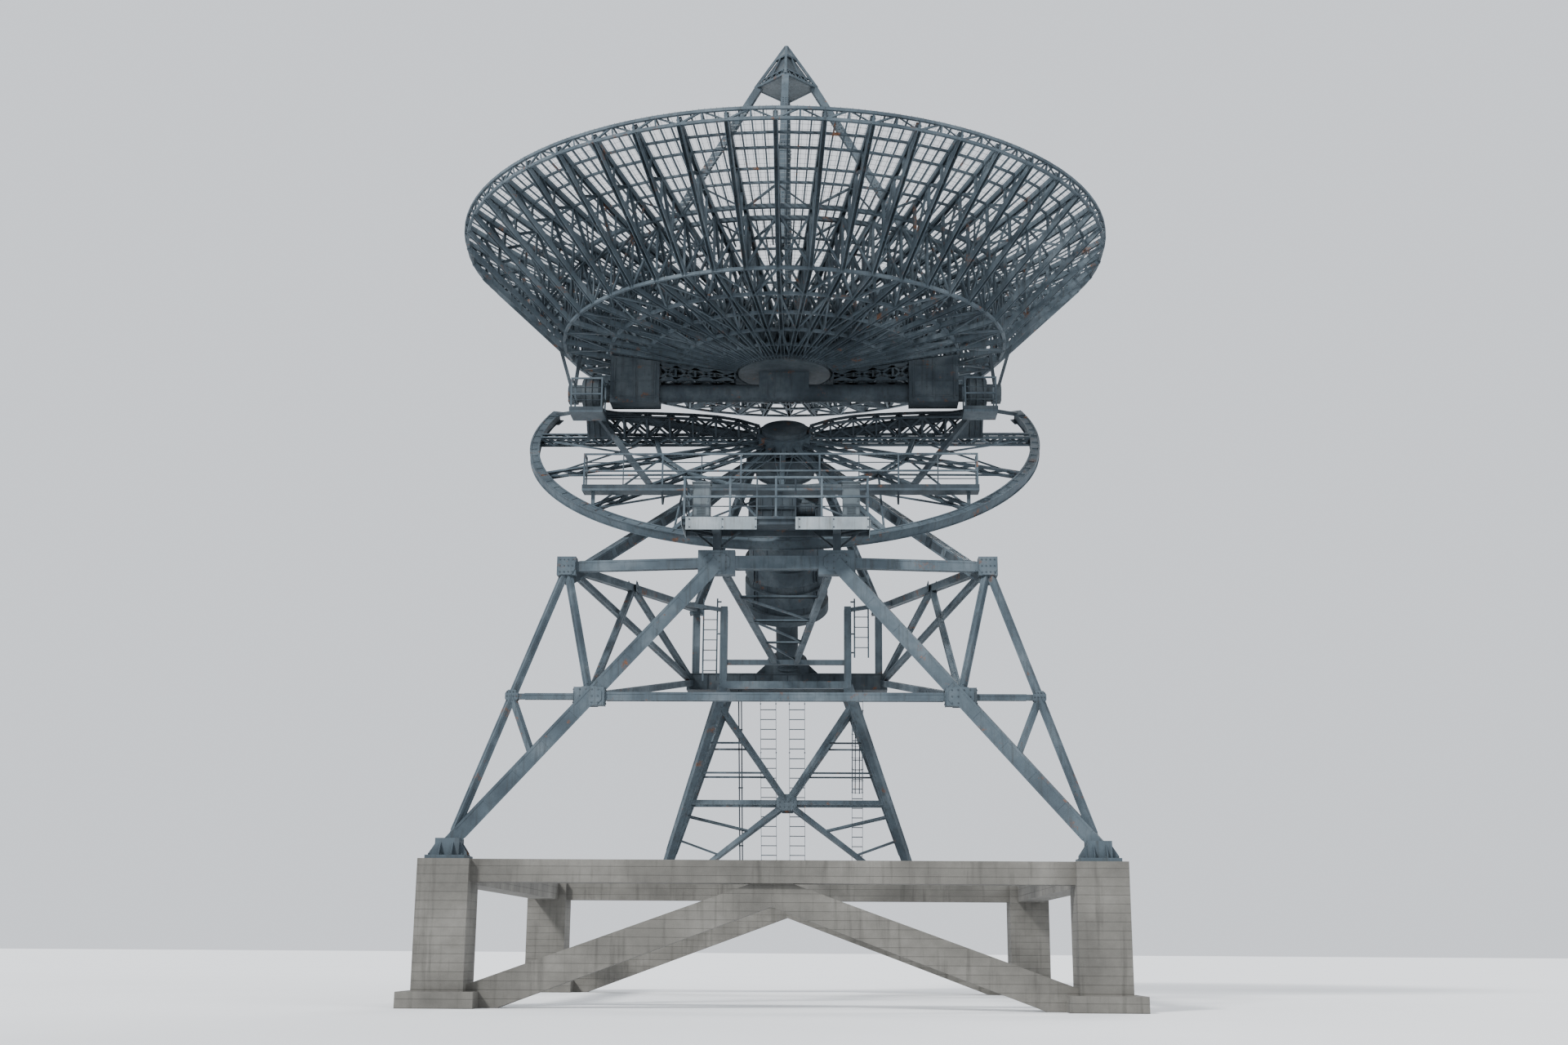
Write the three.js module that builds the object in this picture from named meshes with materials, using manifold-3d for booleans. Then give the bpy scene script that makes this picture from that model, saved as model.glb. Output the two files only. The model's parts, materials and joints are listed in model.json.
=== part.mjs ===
// A steerable radio telescope dish on a polar mount, with its lattice pedestal and concrete base.
// Millimetres, +Z up, -Y towards the celestial pole, origin on the ground under the dish.
import * as THREE from 'three'
import { mergeVertices } from 'three/addons/utils/BufferGeometryUtils.js'
import Module from 'manifold-3d'

const wasm = await Module()
wasm.setup()

// Driving dimensions
const gap = 0.3
const latitude = THREE.MathUtils.degToRad(52.2)
const axesHeight = 16500
const sides = [['left', -1], ['right', 1]]
const axleFacets = 18

// Concrete base
const base = {
  halfWidth: 7250,
  front: -7300,
  rear: 7250,
  top: 3200,
  pillar: 1150,
  foot: 1700,
  footHeight: 350,
  beamWidth: 700,
  beamDepth: 500,
  braceWidth: 450,
}

// Pedestal: joints of the steel frame, given for the right side
const pedestal = {
  foot: [7250, -7300, 3560],
  neck: [4330, -6390, 7000],
  outerNeck: [6150, -6380, 7000],
  lowNeck: [5555, -6770, 5560],
  head: [1460, -5500, 10390],
  corner: [5100, -5500, 10290],
  middle: [4036, -700, 10750],
  headBeamFoot: [5080, -5500, 9980],
  rearTop: [2750, 5100, 11300],
  rearBottom: [2840, 5100, 9050],
  legBox: 320,
  thinLeg: 140,
  brace: 130,
  headBeam: [180, 240],
  bearingBeam: 260,
  rearStay: 200,
  topChord: 180,
  lowChord: 160,
  sole: [900, 900, 80],
  footBlock: [540, 540, 460],
  neckPlate: [700, 300, 420],
  headPlate: [900, 280, 600],
  cornerPlate: [460, 360, 460],
  rearPlate: [360, 360, 360],
  postWidth: 200,
  tieDepth: 180,
  topBeam: [260, 300],
}

// Cross beam at the rear, which carries the lower polar bearing
const rearBeam = { halfLength: 3000, front: 4850, rear: 5350, bottom: 8800, top: 9300 }
const saddleBlock = { halfWidth: 650, rear: 5950, top: 9600, room: 480 }

// Rear tower under the lower polar bearing
const tower = {
  foot: [3850, 7250, 3200],
  topX: 1800,
  frontY: 3200,
  rearY: 5600,
  topZ: 8700,
  waist: 0.42,
  leg: 220,
  brace: 130,
  beam: 200,
  sole: [1500, 600, 60],
  soleX: 3500,
  braceFootX: 3150,
  braceTop: 0.92,
  heartPlate: [360, 170, 360],
  portalTop: 11000,
}

// Polar axle, measured down the axis from the crossing of the axes
const polarAxle = {
  neckRadius: 480,
  upperBearing: [1750, 2500],
  upperHousing: 820,
  yokeHalf: 1100,
  yokeSection: [420, 500],
  shoulderX: 900,
  cone: [3300, 6780],
  coneRadius: [1060, 1120],
  bandRadius: 110,
  bandWidth: 460,
  bandDrops: [6000, 5290],
  endFlange: [1240, 6450],
  tailRadius: 330,
  lowerBearing: [8500, 9200],
  lowerHousing: 560,
  saddleRoom: [7600, 10400],
  end: 9350,
}

// Hub of the polar axle, inside the wheel
const hub = { radius: 650, top: 1050, bottom: 1650 }

// Polar wheel in the plane across the polar axis
const wheel = {
  radius: 7190,
  section: 220,
  beam: [350, 280],
  drop: 1400,
  hubRadius: 800,
  hubHeight: 460,
  reach: THREE.MathUtils.degToRad(106),
  steps: 26,
  spokes: 7,
  spokeSection: [140, 220],
  ringSection: [110, 200],
  innerRing: 0.52,
}

// Declination axle between the two arms of the yoke
const declination = {
  radius: 250,
  halfLength: 6080,
  bearing: [5150, 5650],
  bearingRadius: 420,
  post: [400, 500],
  bracket: [3500, 4880],
  bracketDepth: 350,
  seat: [700, 250],
  collar: [260, 340, 420],
  collarX: 5950,
  outerReach: [5800, 6400],
  outerStrut: 90,
}

// Small railed platforms beside the declination bearings, from the crossing of the axes
const balcony = {
  inner: 4950,
  outer: 5880,
  front: -1200,
  rear: -380,
  floor: -850,
  floorDepth: 60,
  strut: 110,
  railHeight: 950,
  rail: 45,
}

// Level catwalk across the lower half of the polar wheel
const catwalk = {
  halfLength: 5150,
  y: -3000,
  width: 500,
  floor: -3620,
  floorDepth: 60,
  railHeight: 950,
  rail: 45,
  posts: 6,
  leg: 90,
  legDrop: 320,
}

// Drive platform in front of the wheel
const deck = { halfLength: 2250, front: -6600, rear: -5200, top: 11290, depth: 60, railHeight: 1000, rail: 50 }
const gearbox = { halfWidth: 450, front: -5900, rear: -5320, height: 690 }
const motor = { radius: 170, start: [400, -5610], end: 900, rise: 400 }
const cabinet = { x: 1800, y: -6150, size: [420, 400, 900] }

// Ladders between the two faces of the rear tower, and the pipes beside them
const climb = {
  top: [0, 4900, 8790],
  footY: 7050,
  width: 480,
  rungs: 12,
  rail: 50,
  rung: 30,
  places: [['centre', 300], ['left', -560]],
  caged: { x: 2110, footY: 7190, width: 320, cageRadius: 160, hoops: [0.5, 0.63, 0.76, 0.89], strap: 26 },
  pipes: [-1440, -1360],
  pipe: 36,
  clips: [0.2, 0.5, 0.8],
  clip: [140, 30, 40],
}

// Dish, heights above the crossing of the axes
const dish = {
  radius: 9080,
  focalLength: 7870,
  vertexRise: 1640,
  skin: 25,
  ribs: 48,
  sectors: 6,
  ribWidth: 90,
  hubRadius: 1300,
  hubBottom: 550,
  stations: [1300, 3000, 4900, 6200, 7500, 8400, 9000],
  backRadius: 6200,
  backRise: 1200,
  rimDepth: 330,
  legFoot: 4900,
  legSection: 200,
  apexRise: 10800,
  cabinRise: 9400,
  cabinRadius: 980,
  rimRing: 120,
  backRing: 100,
}

const finishes = {
  steel: new THREE.MeshStandardMaterial({ color: 0x6f7f86, roughness: 0.6, metalness: 0.35 }),
  darkSteel: new THREE.MeshStandardMaterial({ color: 0x4c565c, roughness: 0.65, metalness: 0.4 }),
  mesh: new THREE.MeshStandardMaterial({ color: 0x9aa5a8, roughness: 0.5, metalness: 0.5 }),
  panel: new THREE.MeshStandardMaterial({ color: 0x5d676c, roughness: 0.55, metalness: 0.3 }),
  concrete: new THREE.MeshStandardMaterial({ color: 0x8d8b84, roughness: 0.9, metalness: 0 }),
}

const point = (x, y, z) => new THREE.Vector3(x, y, z)
const sided = (side, [x, y, z]) => point(side * x, y, z)
const between = (a, b, share) => a.clone().lerp(b, share)

// Places a shape modelled along Z so that it runs from one point to another.
function along(start, end) {
  const run = end.clone().sub(start).normalize()
  const up = Math.hypot(run.x, run.y) < 1e-6 ? point(0, 1, 0) : point(0, 0, 1)
  const across = up.cross(run).normalize()
  const over = run.clone().cross(across)
  return new THREE.Matrix4().makeBasis(across, over, run).setPosition(between(start, end, 0.5))
}

// Each member is a function of how much it is grown on every side.
const strut = (start, end, width, depth = width) => (grow = 0) => {
  const length = start.distanceTo(end) + 2 * grow
  const box = new THREE.BoxGeometry(width + 2 * grow, depth + 2 * grow, length)
  return box.applyMatrix4(along(start, end))
}

const block = (low, high) => (grow = 0) => {
  const size = high.map((value, axis) => value - low[axis] + 2 * grow)
  const centre = high.map((value, axis) => (value + low[axis]) / 2)
  return new THREE.BoxGeometry(...size).translate(...centre)
}

const drum = (start, end, radius, facets = 24) => (grow = 0) => {
  const length = start.distanceTo(end) + 2 * grow
  const round = new THREE.CylinderGeometry(radius + grow, radius + grow, length, facets)
  return round.rotateX(Math.PI / 2).applyMatrix4(along(start, end))
}

const turned = (profile, facets) => () => {
  const points = profile.map(([radius, height]) => new THREE.Vector2(radius, height))
  return new THREE.LatheGeometry(points, facets).rotateX(Math.PI / 2)
}

const plate = (outline, windows, thickness, place) => () => {
  const shape = new THREE.Shape(outline.map(([x, y]) => new THREE.Vector2(x, y)))
  for (const window of windows) {
    shape.holes.push(new THREE.Path(window.map(([x, y]) => new THREE.Vector2(x, y))))
  }
  const settings = { depth: thickness, bevelEnabled: false }
  return new THREE.ExtrudeGeometry(shape, settings).translate(0, 0, -thickness / 2).applyMatrix4(place)
}

function solid(geometry) {
  geometry.deleteAttribute('normal')
  geometry.deleteAttribute('uv')
  const merged = mergeVertices(geometry, 1e-3)
  return new wasm.Manifold(new wasm.Mesh({
    numProp: 3,
    vertProperties: merged.attributes.position.array,
    triVerts: Uint32Array.from(merged.index.array),
  }))
}

function geometryOf(body) {
  const { vertProperties, triVerts } = body.getMesh()
  const geometry = new THREE.BufferGeometry()
  geometry.setAttribute('position', new THREE.BufferAttribute(vertProperties, 3))
  geometry.setIndex(new THREE.BufferAttribute(triVerts, 1))
  return geometry
}

function fused(members, grow = 0) {
  const bodies = members.map((member) => solid(member(grow)))
  return bodies.reduce((whole, body) => whole.add(body))
}

// A bore wide enough for a round shaft to turn in whatever way their facets meet.
const boreFor = (radius, facets = 24) => (radius + 2 * gap) / Math.cos(Math.PI / facets)

function piece(group, name, finish, members, neighbours = [], holes = []) {
  let body = fused(members)
  for (const neighbour of neighbours) {
    body = body.subtract(fused(neighbour, gap))
  }
  for (const hole of holes) {
    body = body.subtract(solid(hole()))
  }
  const geometry = geometryOf(body).toNonIndexed()
  geometry.computeVertexNormals()
  const mesh = new THREE.Mesh(geometry, finish)
  mesh.name = name
  group.add(mesh)
}

const telescope = new THREE.Group()
const polarFrame = new THREE.Group()
polarFrame.position.z = axesHeight
polarFrame.rotation.x = Math.PI / 2 - latitude
telescope.add(polarFrame)
const dishFrame = new THREE.Group()
dishFrame.rotation.x = latitude - Math.PI / 2
polarFrame.add(dishFrame)

// A point on the polar axis, at a distance below the crossing of the axes
const onPolarAxis = (drop) => point(0, drop * Math.cos(latitude), axesHeight - drop * Math.sin(latitude))

const lump = (centre, size) => {
  const corner = (way) => centre.toArray().map((value, axis) => value + (way * size[axis]) / 2)
  return block(corner(-1), corner(1))
}

// A plate that stands across the Y axis, drawn in X and Z
const standing = (outline, thickness, y = 0) => {
  const place = new THREE.Matrix4().makeRotationX(Math.PI / 2).setPosition(0, y, 0)
  return plate(outline, [], thickness, place)
}

// Concrete: four pillars, beams between them and a raking brace under the front and rear beams
function addBase() {
  const { halfWidth, front, rear, top, pillar, foot, footHeight, beamWidth, beamDepth, braceWidth } = base
  const beamBottom = top - beamDepth
  const inner = halfWidth - pillar / 2
  const footEdge = halfWidth - foot / 2
  const halfBrace = [
    [450, beamBottom],
    [inner, 500],
    [inner, footHeight],
    [footEdge, footHeight],
    [footEdge, 0],
    [footEdge - 400, 0],
  ]
  const braceOutline = [
    ...halfBrace,
    [0, beamBottom - 500],
    ...halfBrace.map(([x, z]) => [-x, z]).reverse(),
  ]
  for (const [row, y] of [['front', front], ['rear', rear]]) {
    for (const [name, side] of sides) {
      const x = side * halfWidth
      piece(telescope, `pillar_${row}_${name}`, finishes.concrete, [
        lump(point(x, y, top / 2), [pillar, pillar, top]),
        lump(point(x, y, footHeight / 2), [foot, foot, footHeight]),
      ])
    }
    piece(telescope, `base_beam_${row}`, finishes.concrete, [
      block([-inner, y - beamWidth / 2, beamBottom], [inner, y + beamWidth / 2, top]),
    ])
    piece(telescope, `base_brace_${row}`, finishes.concrete, [standing(braceOutline, braceWidth, y)])
  }
  for (const [name, side] of sides) {
    const x = side * halfWidth
    piece(telescope, `base_beam_${name}`, finishes.concrete, [
      block([x - beamWidth / 2, front + pillar / 2, beamBottom], [x + beamWidth / 2, rear - pillar / 2, top]),
    ])
  }
}

// Steel pedestal
const joint = (side, name) => sided(side, pedestal[name])

function frontLeg(side) {
  const { legBox, thinLeg, brace, headBeam, sole, footBlock, neckPlate, headPlate, cornerPlate } = pedestal
  const foot = joint(side, 'foot')
  return [
    lump(foot.clone().setZ(base.top + sole[2] / 2), sole),
    lump(foot.clone().setZ(base.top + footBlock[2] / 2), footBlock),
    strut(foot, joint(side, 'head'), legBox),
    strut(foot, joint(side, 'corner'), thinLeg),
    strut(joint(side, 'neck'), joint(side, 'outerNeck'), brace),
    strut(joint(side, 'outerNeck'), joint(side, 'lowNeck'), brace),
    strut(joint(side, 'neck'), joint(side, 'corner'), brace),
    strut(joint(side, 'head'), joint(side, 'corner'), ...headBeam),
    lump(joint(side, 'neck'), neckPlate),
    lump(joint(side, 'head'), headPlate),
    lump(joint(side, 'corner'), cornerPlate),
  ]
}

function rearPost(side) {
  const { rearPlate, postWidth } = pedestal
  const { x, y, z } = joint(side, 'rearTop')
  const half = postWidth / 2
  return block([x - half, y - half, rearBeam.top], [x + half, y + half, z - rearPlate[2] / 2])
}

const { halfLength: beamEnd, front: beamFront, rear: beamRear, bottom: beamBottom, top: beamTop } = rearBeam
const crossBeam = block([-beamEnd, beamFront, beamBottom], [beamEnd, beamRear, beamTop])
const underBaseTop = block([-9000, -9000, 2000], [9000, 9000, base.top])

function sideTruss(side) {
  const { brace, topChord, lowChord, rearPlate } = pedestal
  const corner = joint(side, 'corner')
  const neck = joint(side, 'neck')
  const middle = joint(side, 'middle')
  const rearTop = joint(side, 'rearTop')
  const rearBottom = joint(side, 'rearBottom')
  return [
    strut(corner, rearTop, topChord),
    strut(neck, rearBottom, lowChord),
    strut(middle, neck, brace),
    strut(middle, rearBottom, brace),
    strut(corner, rearBottom, brace),
    lump(rearTop, rearPlate),
  ]
}

function upperBearingFrame() {
  const { upperBearing, upperHousing, yokeHalf, yokeSection, shoulderX } = polarAxle
  const centre = onPolarAxis((upperBearing[0] + upperBearing[1]) / 2)
  const members = [
    drum(onPolarAxis(upperBearing[0]), onPolarAxis(upperBearing[1]), upperHousing),
    strut(centre.clone().setX(-yokeHalf), centre.clone().setX(yokeHalf), ...yokeSection),
  ]
  for (const [, side] of sides) {
    const shoulder = centre.clone().setX(side * shoulderX)
    members.push(strut(joint(side, 'headBeamFoot'), shoulder, pedestal.bearingBeam))
    members.push(strut(joint(side, 'rearTop'), shoulder, pedestal.rearStay))
  }
  return members
}

const towerFoot = (side) => sided(side, tower.foot).setZ(base.top + 50)

function rearTower() {
  const { topX, topZ, waist, leg, brace, beam, sole, soleX, braceFootX, braceTop, heartPlate } = tower
  const half = beam / 2
  const members = [tower.frontY, tower.rearY].map((y) => {
    return block([-topX - half, y - half, topZ - half], [topX + half, y + half, topZ + half])
  })
  for (const [, side] of sides) {
    const foot = towerFoot(side)
    const x = side * topX
    members.push(lump(point(side * soleX, foot.y, base.top + sole[2] / 2), sole))
    members.push(block([x - half, tower.frontY, topZ - half], [x + half, tower.rearY, topZ + half]))
    const waists = []
    for (const y of [tower.frontY, tower.rearY]) {
      const top = point(x, y, topZ - 20)
      const bend = between(foot, top, waist)
      const heart = bend.clone().setX(0)
      members.push(strut(foot, top, leg))
      members.push(strut(bend, heart, brace))
      members.push(strut(heart, between(foot, top, braceTop), brace))
      members.push(strut(heart, point(side * braceFootX, foot.y, base.top + 40), brace))
      waists.push(bend)
    }
    members.push(strut(waists[0], waists[1], brace))
  }
  for (const y of [tower.frontY, tower.rearY]) {
    const heart = between(towerFoot(1), point(topX, y, topZ - 20), waist).setX(0)
    members.push(lump(heart, heartPlate))
  }
  return members
}

function portal() {
  const { frontY, topX, topZ, beam, portalTop } = tower
  const half = beam / 2
  const sill = { bottom: 9290, top: 9430, halfDepth: 80 }
  const { halfDepth } = sill
  const members = [block([-topX, frontY - halfDepth, sill.bottom], [topX, frontY + halfDepth, sill.top])]
  for (const [, side] of sides) {
    const x = side * topX
    const tie = between(joint(side, 'corner'), joint(side, 'rearTop'), 0.821)
    const braceHead = point(side * 1300, joint(side, 'head').y, 10210)
    members.push(block([x - half, frontY - half, topZ + half], [x + half, frontY + half, portalTop]))
    members.push(strut(point(x, frontY, portalTop - half), tie, 110))
    members.push(strut(braceHead, point(side * 300, frontY, (sill.bottom + sill.top) / 2), 140))
  }
  return members
}

function addPedestal() {
  const legs = sides.map(([, side]) => frontLeg(side))
  const trusses = sides.map(([, side]) => sideTruss(side))
  const posts = sides.map(([, side]) => rearPost(side))
  const { upperBearing, lowerBearing, lowerHousing, saddleRoom, neckRadius, tailRadius } = polarAxle
  const { tieDepth, topBeam } = pedestal
  sides.forEach(([name], index) => {
    piece(telescope, `front_leg_${name}`, finishes.steel, legs[index])
    const truss = trusses[index]
    piece(telescope, `side_truss_${name}`, finishes.steel, truss, [legs[index], [crossBeam, posts[index]]])
  })
  const neck = joint(1, 'neck')
  const tieEnd = neck.x - pedestal.neckPlate[0] / 2
  piece(telescope, 'front_tie', finishes.steel, [lump(neck.clone().setX(0), [2 * tieEnd, tieDepth, tieDepth])])
  const head = joint(1, 'head')
  const topEnd = head.x - pedestal.headPlate[0] / 2
  piece(telescope, 'front_top_beam', finishes.steel, [lump(head.clone().setX(0), [2 * topEnd, ...topBeam])])

  const axisRun = ([start, end], spare) => [onPolarAxis(start - spare), onPolarAxis(end + spare)]
  const upperBore = drum(...axisRun(upperBearing, 400), boreFor(neckRadius))
  const bearingFrame = upperBearingFrame()
  piece(telescope, 'upper_bearing_frame', finishes.darkSteel, bearingFrame, [...legs, ...trusses], [upperBore])

  const housing = drum(...axisRun(lowerBearing, 0), lowerHousing)
  const lowerBore = drum(...axisRun(lowerBearing, 100), boreFor(tailRadius))
  piece(telescope, 'lower_bearing', finishes.darkSteel, [housing], [], [lowerBore])
  const { halfWidth, rear, top, room } = saddleBlock
  const saddle = [
    crossBeam,
    block([-halfWidth, beamRear, beamBottom], [halfWidth, rear, beamTop]),
    block([-halfWidth, beamFront, beamTop], [halfWidth, rear, top]),
  ]
  const axleRoom = drum(...axisRun(saddleRoom, 0), room)
  piece(telescope, 'rear_cross_beam', finishes.darkSteel, saddle, [[housing]], [axleRoom])
  sides.forEach(([name], index) => {
    piece(telescope, `rear_post_${name}`, finishes.steel, [posts[index]])
  })
  piece(telescope, 'rear_tower', finishes.steel, rearTower(), [[underBaseTop]])
  piece(telescope, 'portal_frame', finishes.steel, portal(), [...legs, ...trusses])
}

// Posts at the corners and rails at half and full height on the sides that are listed
function railing(low, high, floor, { railHeight, rail }, posts, closed) {
  const members = []
  for (let post = 0; post < posts; post += 1) {
    const x = low[0] + ((high[0] - low[0]) * post) / (posts - 1)
    members.push(lump(point(x, low[1], floor + railHeight / 2), [rail, rail, railHeight]))
  }
  for (const x of closed) {
    members.push(lump(point(x, high[1], floor + railHeight / 2), [rail, rail, railHeight]))
  }
  for (const height of [railHeight / 2, railHeight - rail / 2]) {
    const z = floor + height
    members.push(strut(point(low[0], low[1], z), point(high[0], low[1], z), rail))
    for (const x of closed) {
      members.push(strut(point(x, low[1], z), point(x, high[1], z), rail))
    }
  }
  return members
}

function addDrivePlatform() {
  const { halfLength, front, rear, top, depth } = deck
  const edgeBeam = { width: 100, depth: 120, inset: 60 }
  const { inset } = edgeBeam
  const under = top - depth
  const beamFoot = under - edgeBeam.depth
  const platform = [
    block([-halfLength, front, under], [halfLength, rear, top]),
    block([-halfLength, front + inset, beamFoot], [halfLength, front + inset + edgeBeam.width, under]),
    block([-halfLength, rear - inset - edgeBeam.width, beamFoot], [halfLength, rear - inset, under]),
  ]
  const [headX, headY, headZ] = pedestal.head
  const postFoot = headZ + pedestal.headPlate[2] / 2
  for (const [, side] of sides) {
    const x = side * headX
    platform.push(block([x - 100, front, under - 150], [x + 100, rear, under]))
    platform.push(block([x - 100, headY - 100, postFoot], [x + 100, headY + 100, under]))
  }
  piece(telescope, 'drive_platform', finishes.darkSteel, platform)

  const edge = halfLength - inset
  const rails = railing([-edge, front + 50], [edge, rear - inset], top, deck, 5, [-edge, edge])
  piece(telescope, 'platform_railing', finishes.steel, rails)
  const motorStart = point(...motor.start, top + motor.rise)
  piece(telescope, 'drive_gearbox', finishes.darkSteel, [
    block([-gearbox.halfWidth, gearbox.front, top], [gearbox.halfWidth, gearbox.rear, top + gearbox.height]),
    drum(motorStart, motorStart.clone().setX(motor.end), motor.radius, 16),
  ])
  for (const [name, side] of sides) {
    const middle = point(side * cabinet.x, cabinet.y, top + cabinet.size[2] / 2)
    piece(telescope, `drive_cabinet_${name}`, finishes.panel, [lump(middle, cabinet.size)])
  }
}

const ladderHead = (x) => sided(1, climb.top).setX(x)

function ladder(x, footY, width) {
  const { rail, rung: rungSize, rungs } = climb
  const foot = point(x, footY, base.top)
  const head = ladderHead(x)
  const members = []
  for (const offset of [-width / 2, width / 2]) {
    const shift = point(offset, 0, 0)
    members.push(strut(foot.clone().add(shift), head.clone().add(shift), rail))
  }
  for (let rung = 1; rung <= rungs; rung += 1) {
    const place = between(foot, head, rung / (rungs + 1))
    members.push(strut(place.clone().setX(x - width / 2), place.clone().setX(x + width / 2), rungSize))
  }
  return members
}

function ladderCage({ x, footY, cageRadius, hoops, strap }) {
  const foot = point(x, footY, base.top)
  const head = ladderHead(x)
  const spots = [0, 45, 90, 135, 180].map((angle) => {
    const turn = THREE.MathUtils.degToRad(angle)
    return point(cageRadius * Math.cos(turn), 1.3 * cageRadius * Math.sin(turn), 0)
  })
  const members = []
  for (const share of hoops) {
    const centre = between(foot, head, share)
    for (let spot = 1; spot < spots.length; spot += 1) {
      members.push(strut(centre.clone().add(spots[spot - 1]), centre.clone().add(spots[spot]), climb.rung))
    }
  }
  const low = between(foot, head, hoops[0] - 0.01).add(spots[2])
  const high = between(foot, head, hoops.at(-1) + 0.01).add(spots[2])
  members.push(strut(low, high, strap))
  return members
}

function addLadders() {
  const { footY, width, places, caged, pipes, pipe, clips, clip } = climb
  const cuts = [[crossBeam], [underBaseTop]]
  const finish = finishes.steel
  for (const [name, x] of places) {
    piece(telescope, `ladder_${name}`, finish, ladder(x, footY, width), cuts)
  }
  const cagedMembers = [...ladder(caged.x, caged.footY, caged.width), ...ladderCage(caged)]
  piece(telescope, 'ladder_caged', finish, cagedMembers, cuts)
  const runs = pipes.map((x) => strut(point(x, footY, base.top), ladderHead(x), pipe))
  const middle = (pipes[0] + pipes[1]) / 2
  for (const share of clips) {
    runs.push(lump(between(point(middle, footY, base.top), ladderHead(middle), share), clip))
  }
  piece(telescope, 'cable_pipes', finishes.darkSteel, runs, cuts)
}

// Polar frame: everything here is drawn with Z up the polar axis and -Y down to the drive
const aroundAxis = (radius, angle, z) => point(radius * Math.cos(angle), radius * Math.sin(angle), z)
const lowest = -Math.PI / 2

function axleProfile() {
  const { neckRadius, cone, coneRadius, bandRadius, bandWidth, bandDrops, tailRadius, end } = polarAxle
  const [coneTop, coneEnd] = cone
  const [flangeRadius, flangeTop] = polarAxle.endFlange
  const radiusAt = (drop) => {
    const share = (drop - coneTop) / (coneEnd - coneTop)
    return coneRadius[0] + share * (coneRadius[1] - coneRadius[0])
  }
  const profile = [[0, -end], [tailRadius, -end], [tailRadius, -coneEnd], [flangeRadius, -coneEnd]]
  profile.push([flangeRadius, -flangeTop], [radiusAt(flangeTop), -flangeTop])
  for (const drop of bandDrops) {
    const low = drop + bandWidth / 2
    const high = drop - bandWidth / 2
    profile.push([radiusAt(low), -low], [radiusAt(low) + bandRadius, -low])
    profile.push([radiusAt(high) + bandRadius, -high], [radiusAt(high), -high])
  }
  profile.push([coneRadius[0], -coneTop], [neckRadius, -coneTop], [neckRadius, -hub.bottom])
  profile.push([hub.radius, -hub.bottom], [hub.radius, -hub.top], [0, -hub.top])
  return profile
}

const wheelRim = (grow = 0) => {
  const { radius, section, drop, reach, steps } = wheel
  const spread = 1.01 * grow
  const half = reach + spread / radius
  const outline = []
  for (let step = 0; step <= steps; step += 1) {
    const angle = lowest - half + (2 * half * step) / steps
    outline.push([(radius + spread) * Math.cos(angle), (radius + spread) * Math.sin(angle)])
  }
  const inner = (radius - section - spread) / (radius + spread)
  outline.push(...outline.map(([x, y]) => [inner * x, inner * y]).reverse())
  return plate(outline, [], section + 2 * grow, new THREE.Matrix4().makeTranslation(0, 0, -drop))()
}

function wheelSpider() {
  const { radius, section, beam, drop, hubRadius, hubHeight } = wheel
  const { spokes, spokeSection, ringSection, innerRing } = wheel
  const rimMiddle = radius - section / 2
  const members = [
    drum(point(0, 0, -drop - hubHeight / 2), point(0, 0, -drop + hubHeight / 2), hubRadius),
    strut(point(-rimMiddle, 0, -drop), point(rimMiddle, 0, -drop), ...beam),
  ]
  const step = Math.PI / (spokes + 1)
  const ringRadius = innerRing * rimMiddle
  for (let spoke = 1; spoke <= spokes; spoke += 1) {
    const angle = -Math.PI + spoke * step
    members.push(strut(point(0, 0, -drop), aroundAxis(rimMiddle, angle, -drop), ...spokeSection))
  }
  for (let bay = 0; bay <= spokes; bay += 1) {
    const from = aroundAxis(ringRadius, -Math.PI + bay * step, -drop)
    const to = aroundAxis(ringRadius, -Math.PI + (bay + 1) * step, -drop)
    members.push(strut(from, to, ...ringSection))
  }
  return members
}

function yokeArm(side) {
  const { bearing, bearingRadius, post } = declination
  const [inner, outer] = bearing
  const { radius, section, beam, drop, reach } = wheel
  const beamTop = beam[1] / 2 - drop
  const middle = (side * (inner + outer)) / 2
  const rimEnd = aroundAxis(radius - section / 2, lowest + side * (reach - 0.01), 50 - drop)
  return [
    drum(point(side * inner, 0, 0), point(side * outer, 0, 0), bearingRadius),
    lump(point(middle, 0, beamTop / 2 + gap / 2), [...post, -beamTop - gap]),
    strut(point(side * 850, 0, beamTop - 40), point(middle, 0, -560), 200),
    strut(point(middle, -150, -400), point(side * 3500, -3500, -drop + 60), 130),
    strut(point(middle, 150, -500), rimEnd, 110),
  ]
}

// Level shapes stand upright in the tilted polar frame while the telescope is at rest.
const level = new THREE.Matrix4().makeRotationX(latitude - Math.PI / 2)
const levelled = (members) => (grow = 0) => geometryOf(fused(members, grow)).applyMatrix4(level)

function sidePlatform(side) {
  const { inner, outer, front, rear, floor, floorDepth, strut: strutSize, rail } = balcony
  const low = Math.min(side * inner, side * outer)
  const high = Math.max(side * inner, side * outer)
  const post = (side * (declination.bearing[0] + declination.bearing[1])) / 2
  const ends = [low + rail, high - rail]
  const braceFoot = point(post, front / 2, floor - floorDepth / 2)
  return [levelled([
    block([low, front, floor - floorDepth], [high, rear, floor]),
    strut(braceFoot, point(post, 60, -declination.bearingRadius), strutSize),
    ...railing([ends[0], front + rail], [ends[1], rear - rail], floor, balcony, 2, ends),
  ])]
}

function catwalkRailing() {
  const { halfLength, y, width, floor, rail, posts } = catwalk
  const edge = halfLength - rail
  const low = [-edge, y - width / 2 + rail]
  const high = [edge, y + width / 2 - rail]
  return [levelled(railing(low, high, floor, catwalk, posts, [-edge, edge]))]
}

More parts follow.
